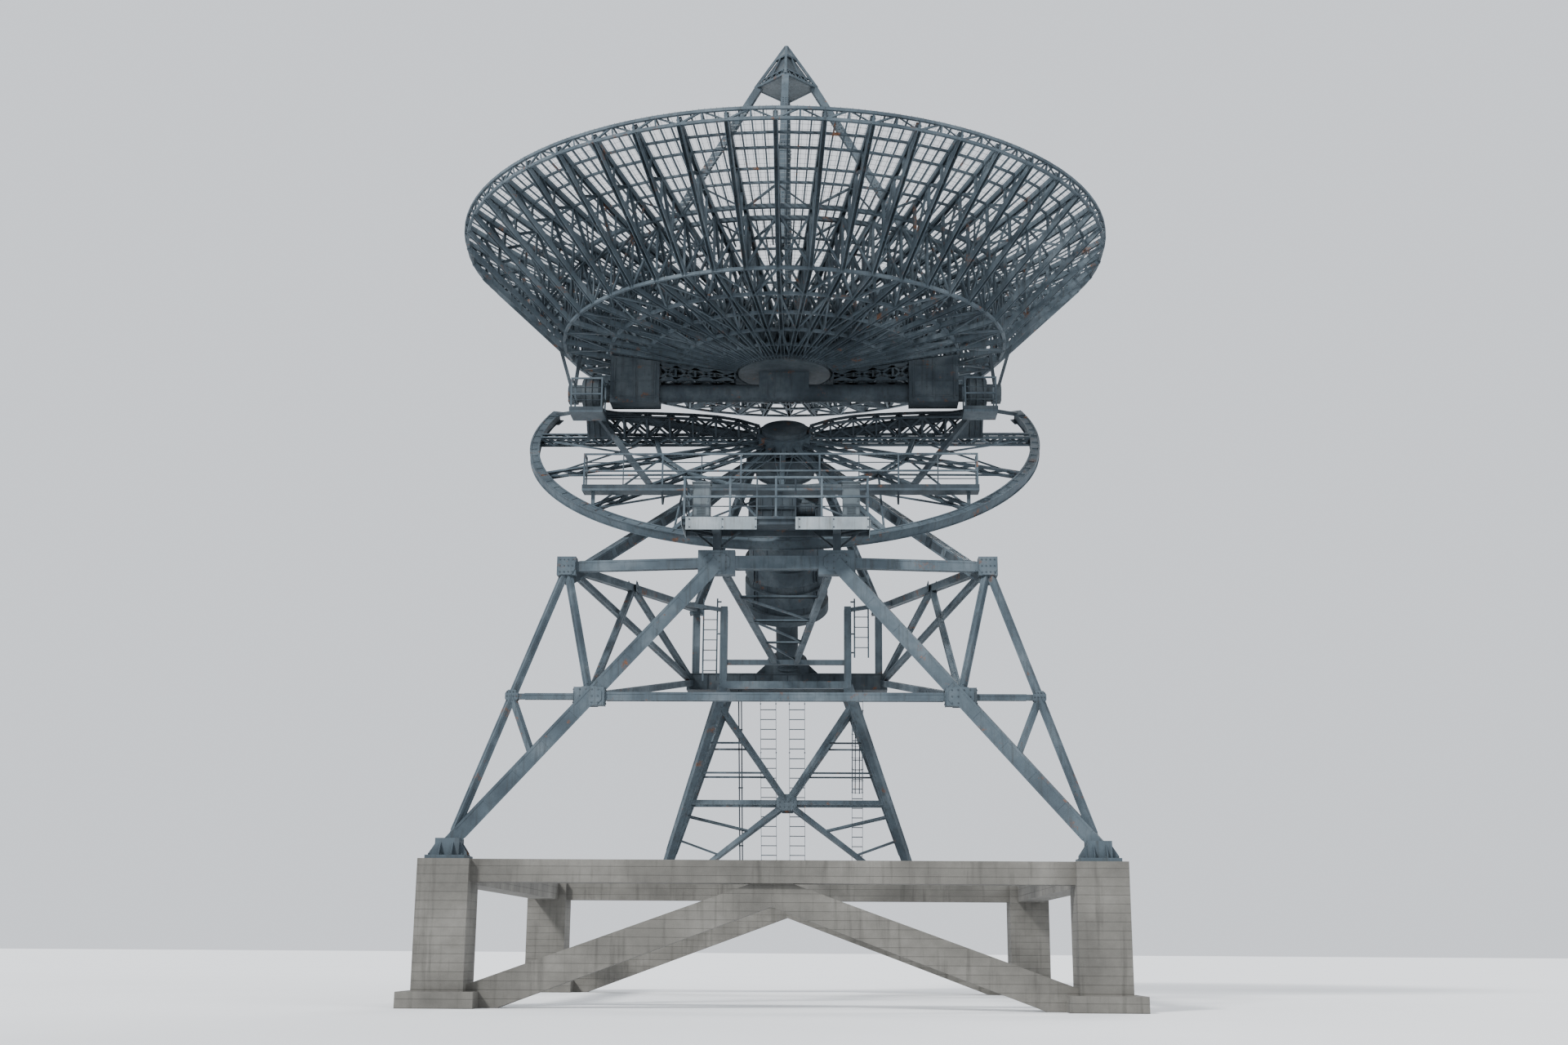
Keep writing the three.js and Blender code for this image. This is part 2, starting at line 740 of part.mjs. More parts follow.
function wheelCatwalk() {
  const { halfLength, y, width, floor, floorDepth, leg, legDrop } = catwalk
  const members = [block([-halfLength, y - width / 2, floor - floorDepth], [halfLength, y + width / 2, floor])]
  const wheelLine = (y - wheel.drop * Math.cos(latitude)) / Math.sin(latitude)
  const step = Math.PI / (wheel.spokes + 1)
  for (const spoke of [-2, -1, 0, 1, 2]) {
    const x = -wheelLine * Math.tan(spoke * step)
    const seat = floor - floorDepth - legDrop
    members.push(block([x - leg / 2, y - leg / 2, seat], [x + leg / 2, y + leg / 2, floor - floorDepth]))
  }
  return [levelled(members)]
}

function addPolarFrame() {
  const { drop } = wheel
  piece(polarFrame, 'polar_axle', finishes.darkSteel, [turned(axleProfile(), axleFacets)])
  piece(polarFrame, 'polar_wheel_rim', finishes.steel, [wheelRim])
  const spider = wheelSpider()
  const hubEdge = hub.radius + gap
  const boreEnds = [-drop - 600, 600 - drop]
  const boreProfile = [[0, boreEnds[0]], [hubEdge, boreEnds[0]], [hubEdge, boreEnds[1]], [0, boreEnds[1]]]
  const hubBore = turned(boreProfile, axleFacets)
  piece(polarFrame, 'polar_wheel_spokes', finishes.steel, spider, [[wheelRim]], [hubBore])
  for (const [name, side] of sides) {
    const bore = drum(
      point(side * (declination.bearing[0] - 100), 0, 0),
      point(side * (declination.bearing[1] + 100), 0, 0),
      boreFor(declination.radius),
    )
    const arm = yokeArm(side)
    piece(polarFrame, `yoke_${name}`, finishes.darkSteel, arm, [spider, [wheelRim]], [bore])
    piece(polarFrame, `declination_platform_${name}`, finishes.steel, sidePlatform(side), [arm])
  }
  piece(polarFrame, 'wheel_catwalk', finishes.steel, wheelCatwalk(), [spider, [wheelRim]])
  piece(polarFrame, 'catwalk_railing', finishes.steel, catwalkRailing())
}

// Dish frame: heights count from the crossing of the axes
const surface = (radius) => dish.vertexRise + radius ** 2 / (4 * dish.focalLength)
const backLine = (radius) => {
  const { hubRadius, hubBottom, backRadius, backRise, stations, rimDepth } = dish
  const edge = stations.at(-1)
  const edgeRise = surface(edge) - rimDepth
  if (radius < backRadius) {
    return hubBottom + ((radius - hubRadius) * (backRise - hubBottom)) / (backRadius - hubRadius)
  }
  return backRise + ((radius - backRadius) * (edgeRise - backRise)) / (edge - backRadius)
}

function ribShape() {
  const { stations, skin, backRadius, hubRadius } = dish
  const top = (radius) => surface(radius) - skin - gap
  const edge = stations.at(-1)
  const start = hubRadius + gap
  const outline = [
    [start, backLine(start)],
    [backRadius, backLine(backRadius)],
    [edge, backLine(edge)],
    ...[start, ...stations.slice(1)].reverse().map((radius) => [radius, top(radius)]),
  ]
  const windows = [[1500, 3800], [3950, 6120], [6280, 8550]].map(([from, to]) => [
    [from, backLine(from) + 120],
    [to, backLine(to) + 120],
    [to, top(to) - 150],
    [from, top(from) - 150],
  ])
  return { outline, windows }
}

function ribSector(sector) {
  const { ribs, sectors, ribWidth, stations, backRadius, skin, rimRing, backRing } = dish
  const pitch = (2 * Math.PI) / ribs
  const count = ribs / sectors
  const { outline, windows } = ribShape()
  const members = []
  const rimRadius = stations.at(-1) - 10
  const rings = [
    [rimRadius, surface(stations.at(-1)) - skin - 105, rimRing],
    [backRadius, backLine(backRadius) + backRing / 2, backRing],
  ]
  for (let rib = 0; rib < count; rib += 1) {
    const angle = (sector * count + rib) * pitch
    const radial = point(Math.cos(angle), Math.sin(angle), 0)
    const across = point(Math.sin(angle), -Math.cos(angle), 0)
    const place = new THREE.Matrix4().makeBasis(radial, point(0, 0, 1), across)
    members.push(plate(outline, windows, ribWidth, place))
    for (const [radius, rise, section] of rings) {
      const here = aroundAxis(radius, angle, rise)
      const before = aroundAxis(radius, angle - pitch, rise)
      const after = aroundAxis(radius, angle + pitch, rise)
      const share = 0.5 - gap / 2 / here.distanceTo(after)
      if (rib === 0) {
        members.push(strut(between(here, before, share), here, section))
      }
      members.push(strut(here, rib === count - 1 ? between(here, after, share) : after, section))
    }
  }
  return members
}

function skinProfile() {
  const { stations, radius, skin } = dish
  const radii = [0, ...stations.slice(0, -1), radius]
  const under = radii.map((spot) => [spot, surface(spot) - skin])
  const over = radii.map((spot) => [spot, surface(spot)]).reverse()
  return [...under, ...over]
}

function hubDrum() {
  const { ribs, hubRadius, hubBottom, vertexRise, skin } = dish
  const corner = hubRadius / Math.cos(Math.PI / ribs)
  const outline = []
  for (let rib = 0; rib < ribs; rib += 1) {
    const angle = ((rib + 0.5) * 2 * Math.PI) / ribs
    outline.push([corner * Math.cos(angle), corner * Math.sin(angle)])
  }
  const top = vertexRise - skin - gap
  const middle = new THREE.Matrix4().makeTranslation(0, 0, (top + hubBottom) / 2)
  return plate(outline, [], top - hubBottom, middle)
}

function cradle() {
  const { radius, halfLength, bracket, bracketDepth, seat } = declination
  const { collar, collarX, outerReach, outerStrut } = declination
  const [inner, outer] = bracket
  const members = [
    drum(point(-halfLength, 0, 0), point(halfLength, 0, 0), radius),
    block([-seat[0], -seat[1], 0], [seat[0], seat[1], dish.hubBottom - gap]),
  ]
  const drop = -60
  for (const [, side] of sides) {
    const low = Math.min(side * inner, side * outer)
    const high = Math.max(side * inner, side * outer)
    members.push(block([low, -bracketDepth, -bracketDepth], [high, bracketDepth, backLine(outer) + 100]))
    for (const reach of outerReach) {
      const seatPoint = point(side * reach, 0, backLine(reach) - drop)
      members.push(strut(point(side * collarX, 0, drop), seatPoint, outerStrut))
    }
    members.push(lump(point(side * collarX, 0, drop), collar))
  }
  return members
}

function ribSeat(side) {
  const radii = [dish.hubRadius, dish.backRadius, dish.stations.at(-1)]
  const line = radii.map((radius) => [side * radius, backLine(radius) - gap])
  return standing([...line, [side * radii[2], 6000], [side * radii[0], 6000]], 1600)
}

function addDish() {
  const { sectors, ribs, legFoot, legSection, apexRise, cabinRise, cabinRadius } = dish
  const seats = sides.map(([, side]) => ribSeat(side))
  piece(dishFrame, 'dish_cradle', finishes.darkSteel, cradle(), [], seats)
  piece(dishFrame, 'dish_hub', finishes.darkSteel, [hubDrum()])
  for (let sector = 0; sector < sectors; sector += 1) {
    piece(dishFrame, `rib_sector_${sector + 1}`, finishes.steel, ribSector(sector))
  }
  piece(dishFrame, 'reflector', finishes.mesh, [turned(skinProfile(), ribs)])
  const underSurface = turned([[0, 0], [9500, 0], [9500, surface(9500) + gap],
    ...dish.stations.map((radius) => [radius, surface(radius) + gap]).reverse(),
    [0, surface(0) + gap]], ribs)
  const overCabinFloor = block([-2000, -2000, cabinRise - gap], [2000, 2000, apexRise])
  const apex = point(0, 0, apexRise)
  const quarters = [['right', 0], ['rear', 1], ['left', 2], ['front', 3]]
  for (const [name, quarter] of quarters) {
    const foot = aroundAxis(legFoot, (quarter * Math.PI) / 2, surface(legFoot))
    const leg = strut(between(foot, apex, -0.03), between(foot, apex, 0.9), legSection)
    piece(dishFrame, `feed_leg_${name}`, finishes.steel, [leg], [], [underSurface, overCabinFloor])
  }
  const cabinProfile = [[0, cabinRise], [cabinRadius, cabinRise], [0, apexRise]]
  piece(dishFrame, 'focus_cabin', finishes.panel, [turned(cabinProfile, 4)])
}

addBase()
addPedestal()
addDrivePlatform()
addLadders()
addPolarFrame()
addDish()

export default telescope
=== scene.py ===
import json
import math
from types import SimpleNamespace

import bmesh
import bpy
from mathutils import Matrix, Vector


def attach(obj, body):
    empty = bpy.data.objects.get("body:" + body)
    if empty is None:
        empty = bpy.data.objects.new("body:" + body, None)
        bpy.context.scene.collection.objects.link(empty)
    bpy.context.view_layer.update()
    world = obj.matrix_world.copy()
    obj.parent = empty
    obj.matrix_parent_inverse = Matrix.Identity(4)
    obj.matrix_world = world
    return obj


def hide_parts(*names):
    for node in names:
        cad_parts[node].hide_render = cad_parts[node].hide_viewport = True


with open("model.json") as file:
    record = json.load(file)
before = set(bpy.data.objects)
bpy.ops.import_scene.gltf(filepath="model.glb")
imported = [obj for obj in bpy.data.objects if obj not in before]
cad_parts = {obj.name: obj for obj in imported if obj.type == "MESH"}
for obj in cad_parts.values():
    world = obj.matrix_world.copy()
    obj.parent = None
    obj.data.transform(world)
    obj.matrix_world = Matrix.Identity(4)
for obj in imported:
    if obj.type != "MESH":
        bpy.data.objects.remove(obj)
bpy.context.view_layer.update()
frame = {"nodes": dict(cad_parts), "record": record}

# Lengths are in metres. The wheel lies below the crossing of the two axes, along the polar axis.
latitude = math.radians(52.2)
axesHeight = 16.5
wheelDrop = 1.4
sides = (-1, 1)
upward = Vector((0, 0, 1))
dishCurve = dict(vertex=18.14, fourFocal=31.48, back=((1.3, 0.55), (6.2, 1.2), (9.0, 3.883)))


# Points in the tilted polar frame, given as x, up the wheel, up the polar axis
def polar(x, y, z):
    s, c = math.sin(latitude), math.cos(latitude)
    return Vector((x, s * y - c * z, axesHeight + c * y + s * z))


def polarWay(x, y, z):
    return polar(x, y, z) - polar(0, 0, 0)


polarAxis = polarWay(0, 0, 1)


def surface(r):
    return dishCurve["vertex"] + r * r / dishCurve["fourFocal"]


def backLine(r):
    inner, knee, edge = dishCurve["back"]
    low, high = (inner, knee) if r < knee[0] else (knee, edge)
    return axesHeight + low[1] + (r - low[0]) * (high[1] - low[1]) / (high[0] - low[0])


def ringPoint(r, angle, z):
    return Vector((r * math.cos(angle), r * math.sin(angle), z))


def onDish(r, angle, drop):
    return ringPoint(r, angle, surface(r) - drop)


def onBack(r, angle, lift):
    return ringPoint(r, angle, backLine(r) + lift)


def lerp(a, b, share):
    return Vector(a).lerp(Vector(b), share)


def about(centre, half):
    return centre - half, centre + half


def steps(low, high, count):
    return [low + (high - low) * i / count for i in range(count + 1)]


def pairs(items):
    return list(zip(items, items[1:]))


def gridSpots(centre, u, v, columns, rows):
    across = [Vector(u) * (share - 0.5) for share in steps(0, 1, columns - 1)]
    along = [Vector(v) * (share - 0.5) for share in steps(0, 1, rows - 1)]
    return [Vector(centre) + a + b for a in across for b in along]


# Section outlines, anticlockwise in the plane across the bar
def boxSection(w, d):
    return [(-w / 2, -d / 2), (w / 2, -d / 2), (w / 2, d / 2), (-w / 2, d / 2)]


def angleSection(w, d, t):
    x, y = w / 2, d / 2
    return [(-x, -y), (x, -y), (x, t - y), (t - x, t - y), (t - x, y), (-x, y)]


def channelSection(w, d, t):
    x, y = w / 2, d / 2
    return [(-x, -y), (x, -y), (x, t - y), (t - x, t - y), (t - x, y - t), (x, y - t), (x, y), (-x, y)]


def roundSection(radius, facets):
    return [(radius * math.cos(a), radius * math.sin(a)) for a in steps(0, 2 * math.pi, facets)[:-1]]


def tubeFaces(n):
    walls = [(i, (i + 1) % n, n + (i + 1) % n, n + i) for i in range(n)]
    return walls + [tuple(reversed(range(n))), tuple(range(n, 2 * n))]


def basis(start, end, up=upward):
    run = (Vector(end) - Vector(start)).normalized()
    up = Vector(up)
    if abs(run.dot(up)) > 0.999:
        up = Vector((0, 1, 0)) if abs(run.y) < 0.9 else Vector((1, 0, 0))
    across = up.cross(run).normalized()
    return across, run.cross(across), run


class Shape:
    def __init__(self):
        self.points = []
        self.faces = []

    def add(self, points, faces):
        base = len(self.points)
        self.points += [tuple(p) for p in points]
        self.faces += [tuple(base + i for i in face) for face in faces]

    def prism(self, section, start, end, up=upward):
        across, over, _ = basis(start, end, up)
        rings = [Vector(at) + across * x + over * y for at in (start, end) for x, y in section]
        self.add(rings, tubeFaces(len(section)))

    def bar(self, start, end, w, d=None, up=upward):
        self.prism(boxSection(w, d or w), start, end, up)

    def angle(self, start, end, w, t=0.01, up=upward):
        self.prism(angleSection(w, w, t), start, end, up)

    def channel(self, start, end, w, d, t=0.012, up=upward):
        self.prism(channelSection(w, d, t), start, end, up)

    def rod(self, start, end, radius, facets=6):
        self.prism(roundSection(radius, facets), start, end)

    # An upright box from its two ends in x, y and z
    def box(self, xs, ys, zs):
        (x0, x1), (y0, y1) = sorted(xs), sorted(ys)
        foot, head = (Vector(((x0 + x1) / 2, (y0 + y1) / 2, z)) for z in sorted(zs))
        self.bar(foot, head, x1 - x0, y1 - y0)

    # A flat plate from an outline of points in its middle plane
    def plate(self, outline, thickness):
        corners = [Vector(p) for p in outline]
        normal = Vector((0, 0, 0))
        for a, b in zip(corners, corners[1:] + corners[:1]):
            normal += a.cross(b)
        half = normal.normalized() * thickness / 2
        self.add([p - half for p in corners] + [p + half for p in corners], tubeFaces(len(corners)))

    # A closed ring of revolution: the profile holds (radius, distance) pairs, anticlockwise
    def turned(self, profile, origin, axis, facets):
        across, over, run = basis(origin, Vector(origin) + Vector(axis))
        n = len(profile)
        points = []
        faces = []
        for i in range(facets):
            a = 2 * math.pi * i / facets
            out = across * math.cos(a) + over * math.sin(a)
            points += [Vector(origin) + out * r + run * h for r, h in profile]
            j = (i + 1) % facets
            faces += [(i * n + k, j * n + k, j * n + (k + 1) % n, i * n + (k + 1) % n) for k in range(n)]
        self.add(points, faces)

    def ring(self, radii, reach, origin, axis=upward, facets=64):
        (inner, outer), (low, high) = radii, reach
        self.turned([(inner, low), (outer, low), (outer, high), (inner, high)], origin, axis, facets)

    # Corner bars and batten plates round a straight box member
    def clad(self, start, end, w, d, pitch, leg=0.05, proud=0.008, battenShare=0.7, battenHalf=0.09):
        across, over, run = basis(start, end)
        start, end = Vector(start), Vector(end)
        for sx in sides:
            for sy in sides:
                corner = across * sx * (w / 2 + proud - leg / 2) + over * sy * (d / 2 + proud - leg / 2)
                self.bar(start + corner, end + corner, leg)
        batten = proud * battenShare
        half = run * battenHalf
        for share in steps(0, 1, max(1, int((end - start).length / pitch)))[1:-1]:
            at = start.lerp(end, share)
            for side in sides:
                left = at + across * side * (w + batten) / 2
                self.bar(left - half, left + half, batten, d)
                top = at + over * side * (d + batten) / 2
                self.bar(top - half, top + half, w, batten)

    def build(self, name):
        mesh = bpy.data.meshes.new(name)
        mesh.from_pydata(self.points, [], self.faces)
        mesh.validate()
        mesh.update()
        return mesh


def place(mesh, name, finish, body, stands=()):
    material, slot = finish
    piece = bpy.data.objects.new(name, mesh)
    bpy.context.scene.collection.objects.link(piece)
    mesh.name = name
    mesh.materials.clear()
    mesh.materials.append(material)
    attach(piece, body)
    if stands:
        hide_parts(*stands)
    return piece


def finishShape(shape, name, finish, body, stands=(), bevel=0.0):
    mesh = shape.build(name)
    if bevel:
        cut = bmesh.new()
        cut.from_mesh(mesh)
        sharp = [e for e in cut.edges if e.is_manifold and e.calc_face_angle() > 0.6]
        bmesh.ops.bevel(cut, geom=sharp, offset=bevel, segments=1, affect="EDGES", clamp_overlap=True)
        cut.to_mesh(mesh)
        cut.free()
    return place(mesh, name, finish, body, stands)


# Node trees: inputs are set or linked by name or number, and nodes stand in a row as they are made
def feed(tree, node, inputs):
    for key, value in inputs.items():
        if isinstance(value, bpy.types.NodeSocket):
            tree.links.new(value, node.inputs[key])
        else:
            node.inputs[key].default_value = value


def addNode(tree, kind, inputs=None, **properties):
    node = tree.nodes.new(kind)
    node.location = (len(tree.nodes) * 190 - 3000, 0)
    for key, value in properties.items():
        setattr(node, key, value)
    feed(tree, node, inputs or {})
    return node


def mathNode(tree, operation, *values):
    return addNode(tree, "ShaderNodeMath", dict(enumerate(values)), operation=operation).outputs[0]


def noise(tree, vector, scale, detail, roughness):
    inputs = {"Vector": vector, "Scale": scale, "Detail": detail, "Roughness": roughness}
    return addNode(tree, "ShaderNodeTexNoise", inputs).outputs["Fac"]


def stretched(tree, coords, wide, tall):
    inputs = {"Vector": coords, "Scale": (wide, wide, tall)}
    return addNode(tree, "ShaderNodeMapping", inputs).outputs["Vector"]


def ramp(tree, value, stops):
    node = addNode(tree, "ShaderNodeValToRGB", {"Fac": value})
    while len(node.color_ramp.elements) < len(stops):
        node.color_ramp.elements.new(0.5)
    for element, (position, colour) in zip(node.color_ramp.elements, stops):
        element.position = position
        element.color = (*colour, 1)
    return node.outputs["Color"]


def mixColour(tree, factor, below, above):
    if isinstance(above, tuple):
        above = (*above, 1)
    inputs = {"Factor": factor, 6: below, 7: above}
    return addNode(tree, "ShaderNodeMix", inputs, data_type="RGBA").outputs[2]


def rangeMap(tree, value, low, high, fromLow, fromHigh):
    inputs = {"Value": value, "From Min": fromLow, "From Max": fromHigh, "To Min": low, "To Max": high}
    return addNode(tree, "ShaderNodeMapRange", inputs).outputs["Result"]


def bump(tree, height, distance, strength):
    inputs = {"Height": height, "Distance": distance, "Strength": strength}
    return addNode(tree, "ShaderNodeBump", inputs).outputs["Normal"]


def startMaterial(name):
    material = bpy.data.materials.new(name)
    material.use_nodes = True
    tree = material.node_tree
    coords = addNode(tree, "ShaderNodeTexCoord").outputs["Object"]
    return material, tree, tree.nodes["Principled BSDF"], coords


# Weathered paint on steel: mottled coat, streaks that run down, rust blooms and fine dust
def paintedSteel(name, paint):
    s = SimpleNamespace(**paint)
    material, tree, shader, coords = startMaterial(name)
    broad = noise(tree, coords, s.mottle, 5, 0.6)
    coat = ramp(tree, broad, [(0.32, s.deep), (0.5, s.base), (0.7, s.worn)])
    runs = noise(tree, stretched(tree, coords, 9.0, 0.7), 1.2, 4, 0.65)
    coat = mixColour(tree, rangeMap(tree, runs, 0.0, s.streak, 0.5, 0.75), coat, s.grime)
    patches = noise(tree, coords, s.rustScale, 8, 0.72)
    rusty = rangeMap(tree, patches, 0.0, 1.0, s.rustFrom, s.rustFrom + 0.09)
    speck = noise(tree, coords, 26.0, 4, 0.6)
    coat = mixColour(tree, rusty, coat, ramp(tree, speck, [(0.3, rust["dark"]), (0.7, rust["bright"])]))
    grain = noise(tree, coords, 55.0, 3, 0.6)
    lift = mathNode(tree, "MULTIPLY_ADD", grain, 0.35, patches)
    feed(tree, shader, {
        "Base Color": coat, "Metallic": s.metal, "Specular IOR Level": s.gloss,
        "Roughness": rangeMap(tree, grain, s.rough - 0.12, s.rough + 0.16, 0.25, 0.75),
        "Normal": bump(tree, lift, 0.004, 0.35),
    })
    return material


# Concrete cast against boards, with lift lines, stains that run down and small pores
def boardConcrete(name, cast):
    s = SimpleNamespace(**cast)
    material, tree, shader, coords = startMaterial(name)
    broad = noise(tree, coords, 0.7, 6, 0.62)
    colour = ramp(tree, broad, [(0.3, s.deep), (0.52, s.base), (0.72, s.pale)])
    height = addNode(tree, "ShaderNodeSeparateXYZ", {"Vector": coords}).outputs["Z"]
    rows = mathNode(tree, "MULTIPLY", height, 1 / s.board)
    seam = rangeMap(tree, mathNode(tree, "FRACT", rows), 1.0, 0.0, 0.0, 0.09)
    row = mathNode(tree, "FLOOR", rows)
    tint = addNode(tree, "ShaderNodeTexWhiteNoise", {"W": row}, noise_dimensions="1D").outputs["Value"]
    colour = mixColour(tree, rangeMap(tree, tint, 0.0, 0.22, 0.0, 1.0), colour, s.deep)
    runs = noise(tree, stretched(tree, coords, 6.0, 0.45), 1.0, 5, 0.6)
    colour = mixColour(tree, rangeMap(tree, runs, 0.0, 0.6, 0.52, 0.74), colour, s.stain)
    colour = mixColour(tree, rangeMap(tree, seam, 0.0, 0.45, 0.0, 1.0), colour, s.stain)
    pores = noise(tree, coords, 34.0, 6, 0.7)
    depth = mathNode(tree, "MULTIPLY_ADD", seam, -1.6, pores)
    rough = rangeMap(tree, pores, 0.78, 0.97, 0.3, 0.7)
    feed(tree, shader, {"Base Color": colour, "Roughness": rough, "Normal": bump(tree, depth, 0.01, 0.5)})
    return material


# Zinc coated wire and grating
def zincMaterial(name, zinc):
    s = SimpleNamespace(**zinc)
    material, tree, shader, coords = startMaterial(name)
    cells = addNode(tree, "ShaderNodeTexVoronoi", {"Vector": coords, "Scale": s.spangle})
    flake = ramp(tree, cells.outputs["Distance"], [(0.1, s.dark), (0.6, s.light)])
    dull = rangeMap(tree, noise(tree, coords, 0.6, 4, 0.6), 0.0, 0.55, 0.42, 0.68)
    fine = noise(tree, coords, 40.0, 3, 0.6)
    feed(tree, shader, {
        "Base Color": mixColour(tree, dull, flake, s.oxide), "Metallic": 0.7,
        "Roughness": rangeMap(tree, fine, 0.38, 0.62, 0.3, 0.7), "Normal": bump(tree, fine, 0.002, 0.3),
    })
    return material


rust = dict(dark=(0.07, 0.028, 0.014), bright=(0.19, 0.08, 0.034))
greyPaint = dict(
    deep=(0.033, 0.047, 0.059), base=(0.055, 0.076, 0.092), worn=(0.1, 0.126, 0.145),
    grime=(0.025, 0.026, 0.025), mottle=0.8, streak=0.6, rustScale=1.9, rustFrom=0.6,
    rough=0.66, metal=0.08, gloss=0.3,
)
darkPaint = dict(
    deep=(0.022, 0.03, 0.037), base=(0.038, 0.05, 0.06), worn=(0.075, 0.09, 0.1),
    grime=(0.018, 0.018, 0.018), mottle=0.9, streak=0.5, rustScale=2.1, rustFrom=0.61,
    rough=0.72, metal=0.0, gloss=0.15,
)
panelPaint = dict(
    deep=(0.055, 0.07, 0.08), base=(0.085, 0.107, 0.12), worn=(0.14, 0.165, 0.18),
    grime=(0.04, 0.04, 0.038), mottle=0.7, streak=0.65, rustScale=1.6, rustFrom=0.65,
    rough=0.55, metal=0.05, gloss=0.35,
)
# A lighter copy of the panel paint, used only on the platform fascia: painted light, standing in for the
# light that falls on its front face
paintedLightPanelPaint = dict(
    deep=(0.15, 0.18, 0.195), base=(0.21, 0.245, 0.265), worn=(0.3, 0.33, 0.345),
    grime=(0.08, 0.078, 0.07), mottle=1.1, streak=0.6, rustScale=2.2, rustFrom=0.65,
    rough=0.55, metal=0.0, gloss=0.4,
)
castPaint = dict(
    deep=(0.078, 0.075, 0.067), base=(0.125, 0.12, 0.107), pale=(0.185, 0.178, 0.16),
    stain=(0.036, 0.034, 0.03), board=0.19,
)
zincWire = dict(dark=(0.13, 0.145, 0.155), light=(0.24, 0.26, 0.27), oxide=(0.09, 0.097, 0.1), spangle=60.0)

greySteel = (paintedSteel("greyPaint", greyPaint), "grey_steel")
darkSteel = (paintedSteel("darkPaint", darkPaint), "dark_steel")
panelSteel = (paintedSteel("panelPaint", panelPaint), "grey_panel")
# Painted light: the fascia's lighter copy of the panel paint, in the same grey_panel slot
paintedLightPanelSteel = (paintedSteel("paintedLightPanelPaint", paintedLightPanelPaint), "grey_panel")
concrete = (boardConcrete("boardConcrete", castPaint), "concrete")
meshZinc = (zincMaterial("zincWire", zincWire), "reflector_mesh")
bySlot = {slot: material for material, slot in (greySteel, darkSteel, panelSteel, concrete, meshZinc)}

slots = {part["node"]: part["material_slot"] for part in frame["record"]["subparts"]}
for node, obj in frame["nodes"].items():
    for held in obj.material_slots:
        held.material = bySlot[slots[node]]
print("stage: materials done")


# Geometry Nodes: one unit repeated round an axis, and studs on marked points
def nodeGroup(name, sockets):
    group = bpy.data.node_groups.new(name, "GeometryNodeTree")
    group.interface.new_socket("Geometry", in_out="OUTPUT", socket_type="NodeSocketGeometry")
    for label, kind in (("Unit", "Geometry"), *sockets, ("Material", "Material")):
        group.interface.new_socket(label, in_out="INPUT", socket_type="NodeSocket" + kind)
    return group, addNode(group, "NodeGroupInput").outputs


def finishGroup(group, points, unit, rotation, material):
    inputs = {"Points": points, "Instance": unit, "Rotation": rotation}
    instances = addNode(group, "GeometryNodeInstanceOnPoints", inputs).outputs["Instances"]
    real = addNode(group, "GeometryNodeRealizeInstances", {"Geometry": instances}).outputs["Geometry"]
    paint = addNode(group, "GeometryNodeSetMaterial", {"Geometry": real, "Material": material})
    addNode(group, "NodeGroupOutput", {"Geometry": paint.outputs["Geometry"]})
    return group


def aroundGroup():
    group, given = nodeGroup("aroundAxis", [("Count", "Int"), ("Step", "Float")])
    points = addNode(group, "GeometryNodePoints", {"Count": given["Count"]}).outputs[0]
    index = addNode(group, "GeometryNodeInputIndex").outputs[0]
    spin = addNode(group, "ShaderNodeCombineXYZ", {"Z": mathNode(group, "MULTIPLY", index, given["Step"])})
    return finishGroup(group, points, given["Unit"], spin.outputs[0], given["Material"])


def studGroup():
    group, given = nodeGroup("studsOnPoints", [("Radius", "Float"), ("Height", "Float"), ("Seed", "Int")])
    size = {"Vertices": 6, "Radius": given["Radius"], "Depth": given["Height"]}
    head = addNode(group, "GeometryNodeMeshCylinder", size).outputs["Mesh"]
    facing = addNode(group, "GeometryNodeInputNamedAttribute", {"Name": "facing"}, data_type="FLOAT_VECTOR")
    way = {"Vector": facing.outputs["Attribute"]}
    turned = addNode(group, "FunctionNodeAlignRotationToVector", way, axis="Z").outputs["Rotation"]
    range60 = {3: math.pi / 3, "Seed": given["Seed"]}
    spin = addNode(group, "FunctionNodeRandomValue", range60, data_type="FLOAT").outputs[1]
    twist = addNode(group, "ShaderNodeCombineXYZ", {"Z": spin}).outputs[0]
    turns = {"Rotation": turned, "Rotate By": twist}
    both = addNode(group, "FunctionNodeRotateRotation", turns, rotation_space="LOCAL").outputs["Rotation"]
    return finishGroup(group, given["Unit"], head, both, given["Material"])


def runGroup(mesh, group, values):
    holder = bpy.data.objects.new("holder", mesh)
    bpy.context.scene.collection.objects.link(holder)
    modifier = holder.modifiers.new("nodes", "NODES")
    modifier.node_group = group
    for item in group.interface.items_tree:
        if item.in_out == "INPUT" and item.name in values:
            modifier[item.identifier] = values[item.name]
    holder.update_tag()
    bpy.context.view_layer.update()
    shown = holder.evaluated_get(bpy.context.evaluated_depsgraph_get())
    made = bpy.data.meshes.new_from_object(shown)
    holder.modifiers.clear()
    bpy.data.objects.remove(holder)
    return made


around = aroundGroup()
studsOn = studGroup()


def repeated(unit, count, name, finish, body, stands=()):
    values = {"Count": count, "Step": 2 * math.pi / count, "Material": finish[0]}
    return place(runGroup(unit.build(name + "Unit"), around, values), name, finish, body, stands)


def studs(spots, radius, height, name, finish, body, seed=3):
    mesh = bpy.data.meshes.new(name + "Points")
    mesh.from_pydata([tuple(at) for at, _ in spots], [], [])
    facing = mesh.attributes.new("facing", "FLOAT_VECTOR", "POINT")
    for i, (_, way) in enumerate(spots):
        facing.data[i].vector = way
    values = {"Radius": radius, "Height": height, "Seed": seed, "Material": finish[0]}
    return place(runGroup(mesh, studsOn, values), name, finish, body)


boltSpots = {"pedestal": [], "polar_frame": [], "dish": []}
boltSize = dict(radius=0.018, height=0.026)


def bolt(body, at, facing):
    boltSpots[body].append((Vector(at), Vector(facing)))


